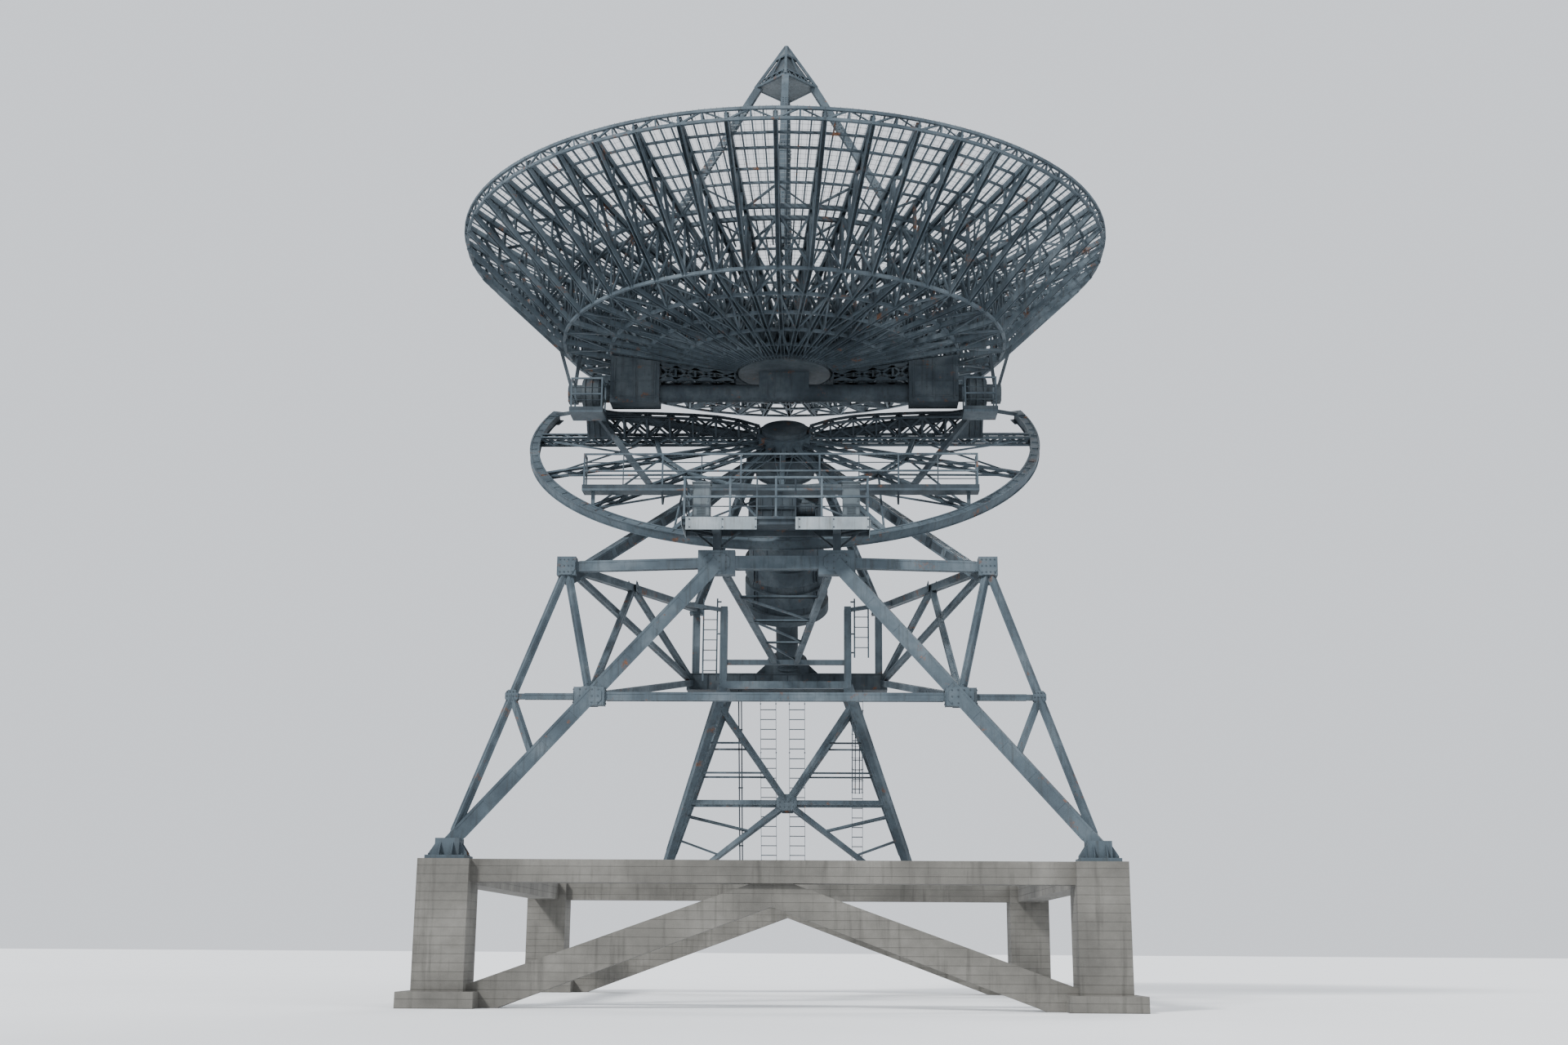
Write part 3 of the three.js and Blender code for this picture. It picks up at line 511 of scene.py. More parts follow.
# Bolts in a circle round the polar axis
def boltCircle(body, count, radius, height, facing):
    for a in steps(0, 2 * math.pi, count)[:-1]:
        bolt(body, polar(radius * math.cos(a), radius * math.sin(a), height), facing)


# Reflector: a bay of wires along and across the dish, repeated round it
reflector = dict(
    bays=48, ringPitch=0.13, wire=0.0055, inner=1.32, outer=9.06, split=5.0, coarse=4, fine=8, spans=7,
    ringDrop=0.012, wireDrop=0.004,
)


def reflectorWires():
    s = SimpleNamespace(**reflector)
    unit = Shape()
    pitch = 2 * math.pi / s.bays
    wire = roundSection(s.wire, 3)
    r = s.inner
    while r <= s.outer:
        for a, b in pairs((0, pitch / 2, pitch)):
            unit.prism(wire, onDish(r, a, s.ringDrop), onDish(r, b, s.ringDrop))
        r += s.ringPitch
    for low, high, count in ((s.inner, s.split, s.coarse), (s.split, s.outer, s.fine)):
        for i in range(count):
            angle = pitch * (i + 0.5) / count
            for a, b in pairs(steps(low, high, s.spans)):
                unit.prism(wire, onDish(a, angle, s.wireDrop), onDish(b, angle, s.wireDrop))
    repeated(unit, s.bays, "reflectorWires", meshZinc, "dish", ("reflector",))


# Rib truss: curved top chord, back chord, posts and diagonals of angle iron
rib = dict(
    count=48, width=0.11, chord=0.13, chordWall=0.016, web=0.07, webWall=0.012, under=0.03,
    backLift=(1.02, 1.4), stations=(1.36, 2.1, 2.95, 3.9, 4.9, 5.6, 6.2, 6.85, 7.5, 8.1, 8.6, 8.98),
)
ribPitch = 2 * math.pi / rib["count"]


def ribTrusses():
    s = SimpleNamespace(**rib)
    unit = Shape()
    half = s.chord / 2
    knee = dishCurve["back"][1][0]
    across = (0, 1, 0)
    top, back = [], []
    for r in s.stations:
        slope = 2 * r / dishCurve["fourFocal"]
        top.append(onDish(r, 0, s.under + half * math.hypot(1, slope)))
        back.append(onBack(r, 0, half * s.backLift[r >= knee]))
    for a, b in pairs(top) + pairs(back):
        unit.channel(a, b, s.chord, s.width, s.chordWall, across)
    for a, b in zip(top, back):
        unit.angle(a, b, s.web, s.webWall, across)
    for i, ((a, nextA), (b, nextB)) in enumerate(zip(pairs(top), pairs(back))):
        ends = (b, nextA) if i % 2 else (a, nextB)
        unit.angle(*ends, s.web, s.webWall, across)
    names = tuple(f"rib_sector_{i}" for i in range(1, 7))
    repeated(unit, s.count, "ribTrusses", greySteel, "dish", names)


# Rings of purlins between the ribs, three light radial bars to a bay, and the doubled rim
bay = dict(
    rings=(8.46, 8.07, 7.5, 7.1, 6.4, 6.02, 5.3, 4.9, 4.2, 3.5, 2.8, 2.1), purlin=0.055, heavy=(6.4, 6.02),
    heavyPurlin=0.1, purlinDrop=0.05, radial=0.036, radialDrop=0.04, radialStarts=(5.0, 2.1, 5.0),
    radialEnd=9.0, radialSpans=6, rimTop=9.04, rimLow=8.97, rimGap=0.06, rimChord=0.075, rimWeb=0.045,
)


def bayFraming():
    s = SimpleNamespace(**bay)
    purlins, radials, rim = Shape(), Shape(), Shape()
    for r in s.rings:
        size = s.heavyPurlin if r in s.heavy else s.purlin
        drop = s.purlinDrop + size / 2
        purlins.angle(onDish(r, 0, drop), onDish(r, ribPitch, drop), size)
    for j, start in enumerate(s.radialStarts, 1):
        angle = ribPitch * j / 4
        for a, b in pairs(steps(start, s.radialEnd, s.radialSpans)):
            radials.bar(onDish(a, angle, s.radialDrop), onDish(b, angle, s.radialDrop), s.radial)
    lowZ = backLine(s.radialEnd) + s.rimGap
    angles = steps(0, ribPitch, 2)
    tops = [onDish(s.rimTop, angle, s.rimGap) for angle in angles]
    lows = [ringPoint(s.rimLow, angle, lowZ) for angle in angles]
    for a, b in pairs(tops) + pairs(lows):
        rim.bar(a, b, s.rimChord)
    for low, top in ((0, 1), (2, 1), (0, 0), (1, 1)):
        rim.angle(lows[low], tops[top], s.rimWeb)
    for shape, name in ((purlins, "purlinRings"), (radials, "lightRadials"), (rim, "rimLattice")):
        repeated(shape, rib["count"], name, greySteel, "dish")


# Cross frames between neighbouring ribs, and zigzags along the back and under the surface
crossBracing = dict(
    frames=(1.45, 2.1, 2.95, 3.9, 4.9, 6.2), frameDrop=0.12, frameLift=0.075, bar=0.055, tie=0.08,
    tieWall=0.012, back=((1.45, 2.95), (2.95, 4.9), (4.9, 6.2)), backLift=0.065,
    under=((5.3, 6.02), (6.4, 7.1)), underDrops=(0.14, 0.12), underBar=0.05,
)


def backBracing():
    s = SimpleNamespace(**crossBracing)
    unit, zigzag = Shape(), Shape()
    for r in s.frames:
        tops = [onDish(r, angle, s.frameDrop) for angle in (0, ribPitch)]
        lows = [onBack(r, angle, s.frameLift) for angle in (0, ribPitch)]
        unit.angle(tops[0], lows[1], s.bar)
        unit.angle(lows[0], tops[1], s.bar)
        unit.angle(lows[0], lows[1], s.tie, s.tieWall)
    for angle in (0, 2 * ribPitch):
        for a, b in s.back:
            zigzag.angle(onBack(a, ribPitch, s.backLift), onBack(b, angle, s.backLift), s.bar)
        for a, b in s.under:
            zigzag.angle(onDish(a, ribPitch, s.underDrops[0]), onDish(b, angle, s.underDrops[1]), s.underBar)
    repeated(unit, rib["count"], "backBracing", greySteel, "dish")
    repeated(zigzag, rib["count"] // 2, "backStruts", greySteel, "dish")


# Hub of the dish: flanges, ribs and a ring of bolts round the CAD drum, and a seat on its top
hub = dict(
    radius=1.3, low=17.05, high=18.1, flange=0.035, lip=0.05, lift=0.12, under=0.09, gap=0.004, ribs=48,
    ribSize=(0.04, 0.02), ribOut=0.02, boltOut=0.027, boltDown=0.002, seat=(0.35, 1.18), seatRise=0.012,
    facets=96,
)


def hubDetail():
    s = SimpleNamespace(**hub)
    shape = Shape()
    foot, head = s.low + s.lift, s.high - s.under
    for z in (foot, head):
        shape.ring((s.radius + s.gap, s.radius + s.lip), (0, s.flange), (0, 0, z), facets=s.facets)
    half = math.pi / s.ribs
    for i in range(s.ribs):
        angle = 2 * half * (i + 0.5)
        a, b = (ringPoint(s.radius + s.ribOut, angle, z) for z in (foot + s.flange, head))
        shape.bar(a, b, *s.ribSize, up=ringPoint(1, angle, 0))
        bolt("dish", ringPoint(s.radius + s.boltOut, angle + half, head - s.boltDown), -upward)
    shape.ring(s.seat, (0, s.seatRise), (0, 0, s.high + s.seatRise), facets=s.ribs)
    finishShape(shape, "dishHubFlanges", darkSteel, "dish")


# Lattice between the hub and the two brackets over the declination axle, and plates on the brackets
cradle = dict(
    y=0.27, posts=(1.4, 1.95, 2.5, 3.05, 3.52), low=16.84, topDrop=0.07, chord=(0.1, 0.06), web=0.06,
    bracket=(3.5, 4.88), face=0.358, uprights=(0.12, 0.02, 16.24, 0.05, 1.05), shelves=(16.3, 16.75, 17.2),
    shelf=(1.04, 0.03), boltRows=(16.35, 16.6, 16.95), boltColumns=(0.3, 0.5),
)


def cradleLattice():
    s = SimpleNamespace(**cradle)
    shape, plates = Shape(), Shape()
    across = (0, 1, 0)
    low, high = s.bracket
    inset, half, foot, headroom, proud = s.uprights
    for side in sides:
        for y in (-s.y, s.y):
            tops = [Vector((side * x, y, backLine(x) - s.topDrop)) for x in s.posts]
            lows = [Vector((side * x, y, s.low)) for x in s.posts]
            for line in (tops, lows):
                shape.channel(line[0], line[-1], *s.chord, up=across)
            crosses = list(zip(tops[:-1], lows[1:])) + list(zip(lows[:-1], tops[1:]))
            for a, b in list(zip(tops, lows)) + crosses:
                shape.angle(a, b, s.web, up=across)
        for way in sides:
            y = way * s.face
            for x in (low + inset, (low + high) / 2, high - inset):
                plates.box(about(side * x, half), (y, y * proud), (foot, backLine(x) - headroom))
            for z in s.shelves:
                plates.box((side * low, side * high), (y, y * s.shelf[0]), (z, z + s.shelf[1]))
            near, far = s.boltColumns
            for x in (low + near, low + far, high - far, high - near):
                for z in s.boltRows:
                    bolt("dish", (side * x, y, z), (0, way, 0))
    finishShape(shape, "cradleLattice", darkSteel, "dish")
    finishShape(plates, "cradlePlates", darkSteel, "dish", bevel=0.004)


# Feed legs: splice plates, foot gussets and a cable run on the CAD legs
feedLeg = dict(
    foot=4.9, apex=27.3, width=0.2, splices=(0.22, 0.45, 0.68), plate=0.012, plateHalf=(0.085, 0.22),
    boltField=(0.08, 0.3), gusset=0.014, gussetOut=0.01, gussetHalf=0.28, gussetHigh=0.42, gussetTip=0.08,
    gussetFoot=(-0.02, 0.06), cable=0.016, cableOut=0.012, cableRun=(0.02, 0.8),
)
squareCorners = ((-1, -1), (1, -1), (1, 1), (-1, 1))


def feedLegDetail():
    s = SimpleNamespace(**feedLeg)
    shape = Shape()
    apex = Vector((0, 0, s.apex))
    for angle in steps(0, 2 * math.pi, 4)[:-1]:
        foot = onDish(s.foot, angle, 0)
        across, over, run = basis(foot, apex)
        for share in s.splices:
            for axis, other in ((across, over), (over, across)):
                for way in sides:
                    centre = foot.lerp(apex, share) + axis * way * (s.width + s.plate) / 2
                    wide, long = other * s.plateHalf[0], run * s.plateHalf[1]
                    shape.plate([centre + wide * a + long * b for a, b in squareCorners], s.plate)
                    for spot in gridSpots(centre, other * s.boltField[0], run * s.boltField[1], 2, 4):
                        for face in sides:
                            bolt("dish", spot + axis * face * s.plate / 2, axis * face)
        out = ringPoint(s.gussetHalf, angle, 0)
        for way in sides:
            base = foot + across * way * (s.width / 2 + s.gussetOut)
            tip = base + run * s.gussetHigh
            low, high = (upward * rise for rise in s.gussetFoot)
            outline = [base - out + low, base + out + high]
            shape.plate(outline + [tip + over * s.gussetTip, tip - over * s.gussetTip], s.gusset)
        edge = over * (s.width / 2 + s.cableOut)
        if edge.z > 0:
            edge = -edge
        shape.rod(*(foot.lerp(apex, share) + edge for share in s.cableRun), s.cable)
    finishShape(shape, "feedLegPlates", greySteel, "dish")


# Focus cabin: clad upper third, recessed panels below, and a bottom frame with small lattice
cabin = dict(
    low=25.9, apex=27.3, foot=25.93, top=27.27, radius=0.93, point=0.012, edge=0.075, clad=26.84,
    cladding=((26.85, -0.006), (27.27, 0)), panels=((26.19, 0.075), (26.81, 0.075)),
    bands=((25.935, 0.07), (26.17, 0.045), (26.84, 0.06)), lattice=(25.95, 26.15), zigzags=5,
    latticeBar=(0.026, 0.006), mullion=0.035, floor=(25.912, 0.02),
)


def focusCabin():
    s = SimpleNamespace(**cabin)
    edges, shell, inner = Shape(), Shape(), Shape()

    def corner(quarter, z, inset=0.0):
        r = s.radius * (s.apex - z) / (s.apex - s.low) - inset
        return ringPoint(max(r, s.point), quarter * math.pi / 2, z)

    def side(q, z, share):
        return lerp(corner(q, z), corner(q + 1, z), share)

    for q in range(4):
        edges.bar(corner(q, s.foot), corner(q, s.top), s.edge)
        for z, width in s.bands:
            edges.bar(corner(q, z), corner(q + 1, z), width)
        low, high = s.lattice
        for a, b in pairs(steps(0, 1, s.zigzags)):
            peak = side(q, high, (a + b) / 2)
            edges.angle(side(q, low, a), peak, *s.latticeBar)
            edges.angle(peak, side(q, low, b), *s.latticeBar)
        edges.bar(side(q, s.bands[1][0], 0.5), side(q, s.clad, 0.5), s.mullion)
    for target, levels in ((shell, s.cladding), (inner, s.panels)):
        target.add([corner(q, z, inset) for z, inset in levels for q in range(4)], tubeFaces(4))
    shell.plate([corner(q, s.floor[0]) for q in range(4)], s.floor[1])
    finishShape(edges, "focusCabinFrame", greySteel, "dish", ("focus_cabin",))
    finishShape(shell, "focusCabinCladding", panelSteel, "dish", bevel=0.004)
    finishShape(inner, "focusCabinPanels", darkSteel, "dish", bevel=0.004)


reflectorWires()
ribTrusses()
bayFraming()
backBracing()
hubDetail()
cradleLattice()
feedLegDetail()
focusCabin()
print("stage: dish done")


# Polar wheel: latticed spokes and beam in place of the plain ones, with rods between them
wheel = dict(
    radius=7.08, spokes=7, hub=0.8, bore=0.655, hubHalf=0.23, ring=0.52, ringLift=0.07, ringBar=(0.1, 0.05),
    lace=0.03, laces=6, chord=(0.12, 0.055), chordWall=0.01, web=0.055, pitch=0.42, spokeHalf=0.075,
    rods=(0.03, 0.022), rimGap=0.14, memberEnds=(0.76, 6.96), lip=0.85, lipLift=0.02, lipThick=0.03,
    bolts=24, boltCircle=(0.828, 0.212),
)
beam = dict(
    half=0.11, rows=0.13, chord=(0.09, 0.06), pitch=0.36, ties=16, tieStart=1.0, tiePitch=0.38,
    tie=(0.04, 0.02),
)


def wheelPoint(radius, angle, lift=0.0):
    return polar(radius * math.cos(angle), radius * math.sin(angle), lift - wheelDrop)


# Two channels and a zigzag between them, along a line that spot() gives from a run and a lift
def lacedMember(shape, spot, half, chord, pitch):
    start, end = wheel["memberEnds"]
    runs = steps(start, end, max(2, int((end - start) / pitch)))
    for lift in (-half, half):
        shape.channel(spot(start, lift), spot(end, lift), *chord, wheel["chordWall"], polarAxis)
    for i, (a, b) in enumerate(pairs(runs)):
        low, high = (half, -half) if i % 2 else (-half, half)
        shape.bar(spot(a, low), spot(b, high), wheel["web"], up=polarAxis)


def wheelBeam(shape):
    s = SimpleNamespace(**beam)
    for side in sides:
        for row in (-s.rows, s.rows):
            spot = lambda x, lift: polar(side * x, row, lift - wheelDrop)
            lacedMember(shape, spot, s.half, s.chord, s.pitch)
        for i in range(s.ties):
            near = side * (s.tieStart + i * s.tiePitch)
            far = near + side * s.tiePitch
            for lift in (-s.half - wheelDrop, s.half - wheelDrop):
                shape.bar(polar(near, -s.rows, lift), polar(far, s.rows, lift), *s.tie)


def wheelSpokes():
    s = SimpleNamespace(**wheel)
    shape = Shape()
    angles = steps(-math.pi, 0, s.spokes + 1)
    for angle in angles[1:-1]:
        lacedMember(shape, lambda r, lift: wheelPoint(r, angle, lift), s.spokeHalf, s.chord, s.pitch)
    wheelBeam(shape)
    ring, rim = s.ring * s.radius, s.radius - s.rimGap
    for a, b in pairs(angles):
        lows, highs = ([wheelPoint(ring, at, lift) for at in (a, b)] for lift in (-s.ringLift, s.ringLift))
        shape.bar(*lows, *s.ringBar, polarAxis)
        shape.bar(*highs, *s.ringBar, polarAxis)
        for i, (start, end) in enumerate(pairs(steps(0, 1, s.laces))):
            first, second = (lows, highs) if i % 2 else (highs, lows)
            shape.bar(lerp(*first, start), lerp(*second, end), s.lace)
        for x, y in ((a, b), (b, a)):
            shape.rod(wheelPoint(ring, x), wheelPoint(rim, y), s.rods[0])
            shape.rod(wheelPoint(s.hub, x), wheelPoint(ring, y), s.rods[1])
    centre = polar(0, 0, -wheelDrop)
    lip = s.lipLift - s.hubHalf
    shape.ring((s.bore, s.hub), (-s.hubHalf, s.hubHalf), centre, polarAxis)
    shape.ring((s.hub, s.lip), (lip, lip + s.lipThick), centre, polarAxis)
    finishShape(shape, "wheelSpokes", greySteel, "polar_frame", ("polar_wheel_spokes",))
    radius, down = s.boltCircle
    boltCircle("polar_frame", s.bolts, radius, -wheelDrop - down, -polarAxis)


# Rim of the wheel: flanges, stiffeners and end fittings on the CAD ring
rimParts = dict(
    outer=7.19, inner=6.97, half=0.11, reach=106, spans=106, flange=(0.05, 0.014), flangeIn=0.012,
    flangeOut=0.008, stiffener=(0.014, 0.02), stiffenerOut=0.006, boltIn=0.07, plate=0.025, plateOut=0.02,
    plateTurns=(0.05, 0.004), plateRadii=(6.87, 7.18), stiffenerRadii=(6.98, 7.17),
)


def wheelRimDetail():
    s = SimpleNamespace(**rimParts)
    shape = Shape()
    low, high = math.radians(-90 - s.reach), math.radians(-90 + s.reach)
    spots = steps(low, high, s.spans)
    for r in (s.outer - s.flangeIn, s.inner - s.flangeIn):
        for lift in about(0, s.half + s.flangeOut):
            for a, b in pairs(spots):
                shape.bar(wheelPoint(r, a, lift), wheelPoint(r, b, lift), *s.flange, polarAxis)
    for a in spots[::2]:
        for lift in about(0, s.half + s.stiffenerOut):
            ends = (wheelPoint(r, a, lift) for r in s.stiffenerRadii)
            shape.bar(*ends, *s.stiffener, polarAxis)
    for a in spots[1::2]:
        for r in (s.inner + s.boltIn, s.outer - s.boltIn):
            bolt("polar_frame", wheelPoint(r, a, -s.half), -polarAxis)
    for a, way in ((low, -1), (high, 1)):
        near, far = a - way * s.plateTurns[0], a + way * s.plateTurns[1]
        inner, outer = s.plateRadii
        for lift in about(0, s.half + s.plateOut):
            corners = ((inner, near), (outer, near), (outer, far), (inner, far))
            shape.plate([wheelPoint(r, angle, lift) for r, angle in corners], s.plate)
    finishShape(shape, "wheelRimFlanges", greySteel, "polar_frame")


# Polar axle: a finely turned cone, its bands with their lugs, and rails along the cone
axle = dict(
    core=0.001, neck=0.48, hub=0.65, collar=(1.65, 1.05), cone=(3.3, 6.78), radii=(1.06, 1.12), band=0.11,
    bandWidth=0.46, bands=(6.0, 5.29), flange=(1.24, 6.45), tail=0.33, end=9.35, facets=96, lugs=4,
    lug=(0.02, 0.4), lugReach=(-0.04, 0.055), lugGap=0.05, pin=(0.08, 0.02, 0.014), rails=12,
    rail=(0.05, 0.02), railOut=0.006, railRuns=((3.36, 5.04), (5.54, 5.75), (6.25, 6.44)),
)


def coneRadius(drop):
    (top, bottom), (narrow, wide) = axle["cone"], axle["radii"]
    return narrow + (drop - top) / (bottom - top) * (wide - narrow)


def axleProfile():
    s = SimpleNamespace(**axle)
    top, bottom = s.cone
    flange, flangeDrop = s.flange
    low, high = s.collar
    profile = [(s.core, s.end), (s.tail, s.end), (s.tail, bottom), (flange, bottom), (flange, flangeDrop)]
    profile.append((coneRadius(flangeDrop), flangeDrop))
    for centre in s.bands:
        upper, lower = about(centre, s.bandWidth / 2)
        profile += [(coneRadius(lower), lower), (coneRadius(lower) + s.band, lower)]
        profile += [(coneRadius(upper) + s.band, upper), (coneRadius(upper), upper)]
    profile += [(s.radii[0], top), (s.neck, top), (s.neck, low), (s.hub, low), (s.hub, high)]
    profile.append((s.core, high))
    return [(radius, -drop) for radius, drop in profile]


def polarAxle():
    s = SimpleNamespace(**axle)
    shape, lugs = Shape(), Shape()
    shape.turned(axleProfile(), polar(0, 0, 0), polarAxis, s.facets)
    piece = finishShape(shape, "polarAxleCone", darkSteel, "polar_frame", ("polar_axle",), bevel=0.006)
    piece.data.shade_smooth()
    piece.data.set_sharp_from_angle(angle=0.4)
    long, above, pin = s.pin
    for centre in s.bands:
        for a in steps(math.pi / 4, math.pi * 9 / 4, s.lugs)[:-1]:
            out = polarWay(math.cos(a), math.sin(a), 0)
            face = polar(0, 0, -centre) + out * (coneRadius(centre) + s.band)
            tangent = polarAxis.cross(out)
            for way in sides:
                ends = (face + tangent * way * s.lugGap + out * reach for reach in s.lugReach)
                lugs.bar(*ends, *s.lug, polarAxis)
            lugs.rod(*(face + tangent * way * long + out * above for way in sides), pin)
    for a in steps(0, 2 * math.pi, s.rails)[:-1]:
        out = polarWay(math.cos(a), math.sin(a), 0)
        for run in s.railRuns:
            ends = (polar(0, 0, -drop) + out * (coneRadius(drop) + s.railOut) for drop in run)
            lugs.bar(*ends, *s.rail, out)
    finishShape(lugs, "polarAxleLugs", darkSteel, "polar_frame")


# Declination bearings: end caps with bolts, and hoops round the housings
bearing = dict(
    ends=(5.15, 5.65), radius=0.42, bore=0.262, cap=0.02, capIn=0.03, capGap=0.001, bolts=12, boltCircle=0.33,
    boltOut=0.022, hoops=(0.06, 0.25, 0.44), hoop=(-0.002, 0.035, 0.02),
)


def bearingCaps():
    s = SimpleNamespace(**bearing)
    caps = Shape()
    inner, outer, half = s.hoop
    for side in sides:
        for x, way in zip(s.ends, sides):
            outward = Vector((side * way, 0, 0))
            face = Vector((side * x, 0, axesHeight))
            caps.ring((s.bore, s.radius - s.capIn), (0, s.cap), face + outward * s.capGap, outward)
            for i in range(s.bolts):
                a = 2 * math.pi * (i + 0.5) / s.bolts
                spot = Vector((0, s.boltCircle * math.cos(a), s.boltCircle * math.sin(a)))
                bolt("polar_frame", face + outward * s.boltOut + spot, outward)
        for off in s.hoops:
            centre = (side * (s.ends[0] + off), 0, axesHeight)
            caps.ring((s.radius + inner, s.radius + outer), (-half, half), centre, (1, 0, 0), 48)
    finishShape(caps, "declinationBearingCaps", darkSteel, "polar_frame", bevel=0.003)


# Yoke: gussets at the posts, doubled struts to the hub of the wheel, and a latticed web under them
yoke = dict(
    post=5.4, ribs=(-0.15, 0, 0.15), rib=(0.02, 0.05), ribY=0.26712, ribReach=(-1.22, -0.45), foot=-1.26,
    gusset=0.02, gussetY=0.25704, gussetX=(5.2, 4.65), gussetTop=-0.75, strut=(0.09, 0.012), strutOff=0.085,
    strutLow=(1.0, -1.32), strutHigh=-0.66, laces=6, laceStart=1.35, lacePitch=0.6, laceFoot=-1.2,
    laceLevel=0.9, laceRise=0.152, lace=0.08, web=0.055, rows=(-0.16, 0.16), chord=(0.09, 0.06),
    chordLine=((0.72, -1.04), (1.3, -0.86), (1.95, -0.75), (2.6, -0.7), (3.25, -0.67), (3.9, -0.65),
               (4.55, -0.64), (5.13, -0.63)),
)


def yokeDetail():
    s = SimpleNamespace(**yoke)
    shape = Shape()
    across = (0, 1, 0)
    for side in sides:
        near, far = s.gussetX
        corners = ((near, s.foot), (far, s.foot), (near, s.gussetTop))
        for face in sides:
            for off in s.ribs:
                ends = (polar(side * s.post + off, face * s.ribY, z) for z in s.ribReach)
                shape.bar(*ends, *s.rib, across)
            shape.plate([polar(side * x, face * s.gussetY, z) for x, z in corners], s.gusset)
        for off in (-s.strutOff, s.strutOff):
            x, z = s.strutLow
            shape.angle(polar(side * x, off, z), polar(side * near, off, s.strutHigh), *s.strut)
        for i in range(s.laces):
            x = s.laceStart + i * s.lacePitch
            foot, nextFoot = (polar(side * at, 0, s.foot) for at in (x, x + s.lacePitch))
            rise = (x - s.laceLevel) * s.laceRise
            head = polar(side * (x + s.lacePitch / 2), 0, s.laceFoot + rise)
            shape.angle(foot, head, s.lace)
            shape.angle(head, nextFoot, s.lace)
        for y in s.rows:
            tops = [polar(side * x, y, z) for x, z in s.chordLine]
            lows = [polar(side * x, y, s.foot) for x, _ in s.chordLine]
            for a, b in pairs(tops):
                shape.channel(a, b, *s.chord, up=polarAxis)
            crosses = list(zip(tops[:-1], lows[1:])) + list(zip(lows[:-1], tops[1:]))
            for a, b in list(zip(tops, lows)) + crosses:
                shape.angle(a, b, s.web, up=polarAxis)
        for x, z in s.chordLine:
            shape.angle(*(polar(side * x, y, z) for y in s.rows), s.web, up=polarAxis)
    finishShape(shape, "yokeLattice", darkSteel, "polar_frame")


# Grating panels: bearing bars one way and cross rods the other
openFloor = dict(pitch=0.07, bar=(0.008, 0.028), rodPitch=0.14, rod=0.01, rodLift=0.004)


def grating(shape, xs, ys, z, pitch=openFloor["pitch"]):
    s = SimpleNamespace(**openFloor)
    for x in steps(*xs, max(2, round((xs[1] - xs[0]) / pitch))):
        shape.bar((x, ys[0], z), (x, ys[1], z), *s.bar)
    for y in steps(*ys, max(2, round((ys[1] - ys[0]) / s.rodPitch))):
        shape.bar((xs[0], y, z + s.rodLift), (xs[1], y, z + s.rodLift), s.rod)


# The two platforms by the bearings, and the walk on the wheel, with toe boards and extra rails
balcony = dict(xs=(4.95, 5.88), ys=(-1.2, -0.38), floor=15.65, rails=(0.3, 0.66), rail=0.012)
catwalk = dict(
    half=5.15, ys=(-3.25, -2.75), floor=12.88, rails=(0.26, 0.7), rail=0.014, posts=10, post=0.016,
    pitch=0.1, insets=(0.07, 0.05),
)
walkway = dict(
    rise=0.016, inset=0.06, railIn=0.045, railEnd=0.05, toe=(0.008, 0.1), postTop=0.92,
    braces=(-3.06, -1.02, 1.02, 3.06), braceDrops=(0.08, 0.36), brace=(0.05, 0.008),
)


def walkDetail():
    w, s, c = (SimpleNamespace(**settings) for settings in (walkway, balcony, catwalk))
    shape = Shape()

    def toeBoard(start, end, floor):
        shape.bar((*start, floor + w.toe[1] / 2), (*end, floor + w.toe[1] / 2), *w.toe)

    for side in sides:
        (low, high), (front, rear) = sorted(side * x for x in s.xs), s.ys
        grating(shape, (low + w.inset, high - w.inset), (front + w.inset, rear - w.inset), s.floor + w.rise)
        for x in (low, high):
            toeBoard((x, front), (x, rear), s.floor)
        toeBoard((low, front), (high, front), s.floor)
        for z in s.rails:
            ends = ((x, front + w.railIn, s.floor + z) for x in (low + w.railEnd, high - w.railEnd))
            shape.rod(*ends, s.rail)
    (front, rear), half = c.ys, c.half
    ys = (front + c.insets[0], rear - c.insets[1])
    grating(shape, about(0, half - w.inset), ys, c.floor + w.rise, c.pitch)
    toeBoard((-half, front), (half, front), c.floor)
    y = front + w.railIn
    for z in c.rails:
        shape.rod(*((x, y, c.floor + z) for x in about(0, half - w.railEnd)), c.rail)
    for x in steps(*about(0, half - w.railIn), c.posts)[1::2]:
        shape.rod((x, y, c.floor), (x, y, c.floor + w.postTop), c.post)
    for x in w.braces:
        for end in (rear, front):
            foot = (x, (front + rear) / 2, c.floor - w.braceDrops[1])
            shape.angle((x, end, c.floor - w.braceDrops[0]), foot, *w.brace)
    finishShape(shape, "walkwayGrating", darkSteel, "polar_frame")


wheelSpokes()
wheelRimDetail()
polarAxle()
bearingCaps()
yokeDetail()
walkDetail()
print("stage: polar frame done")


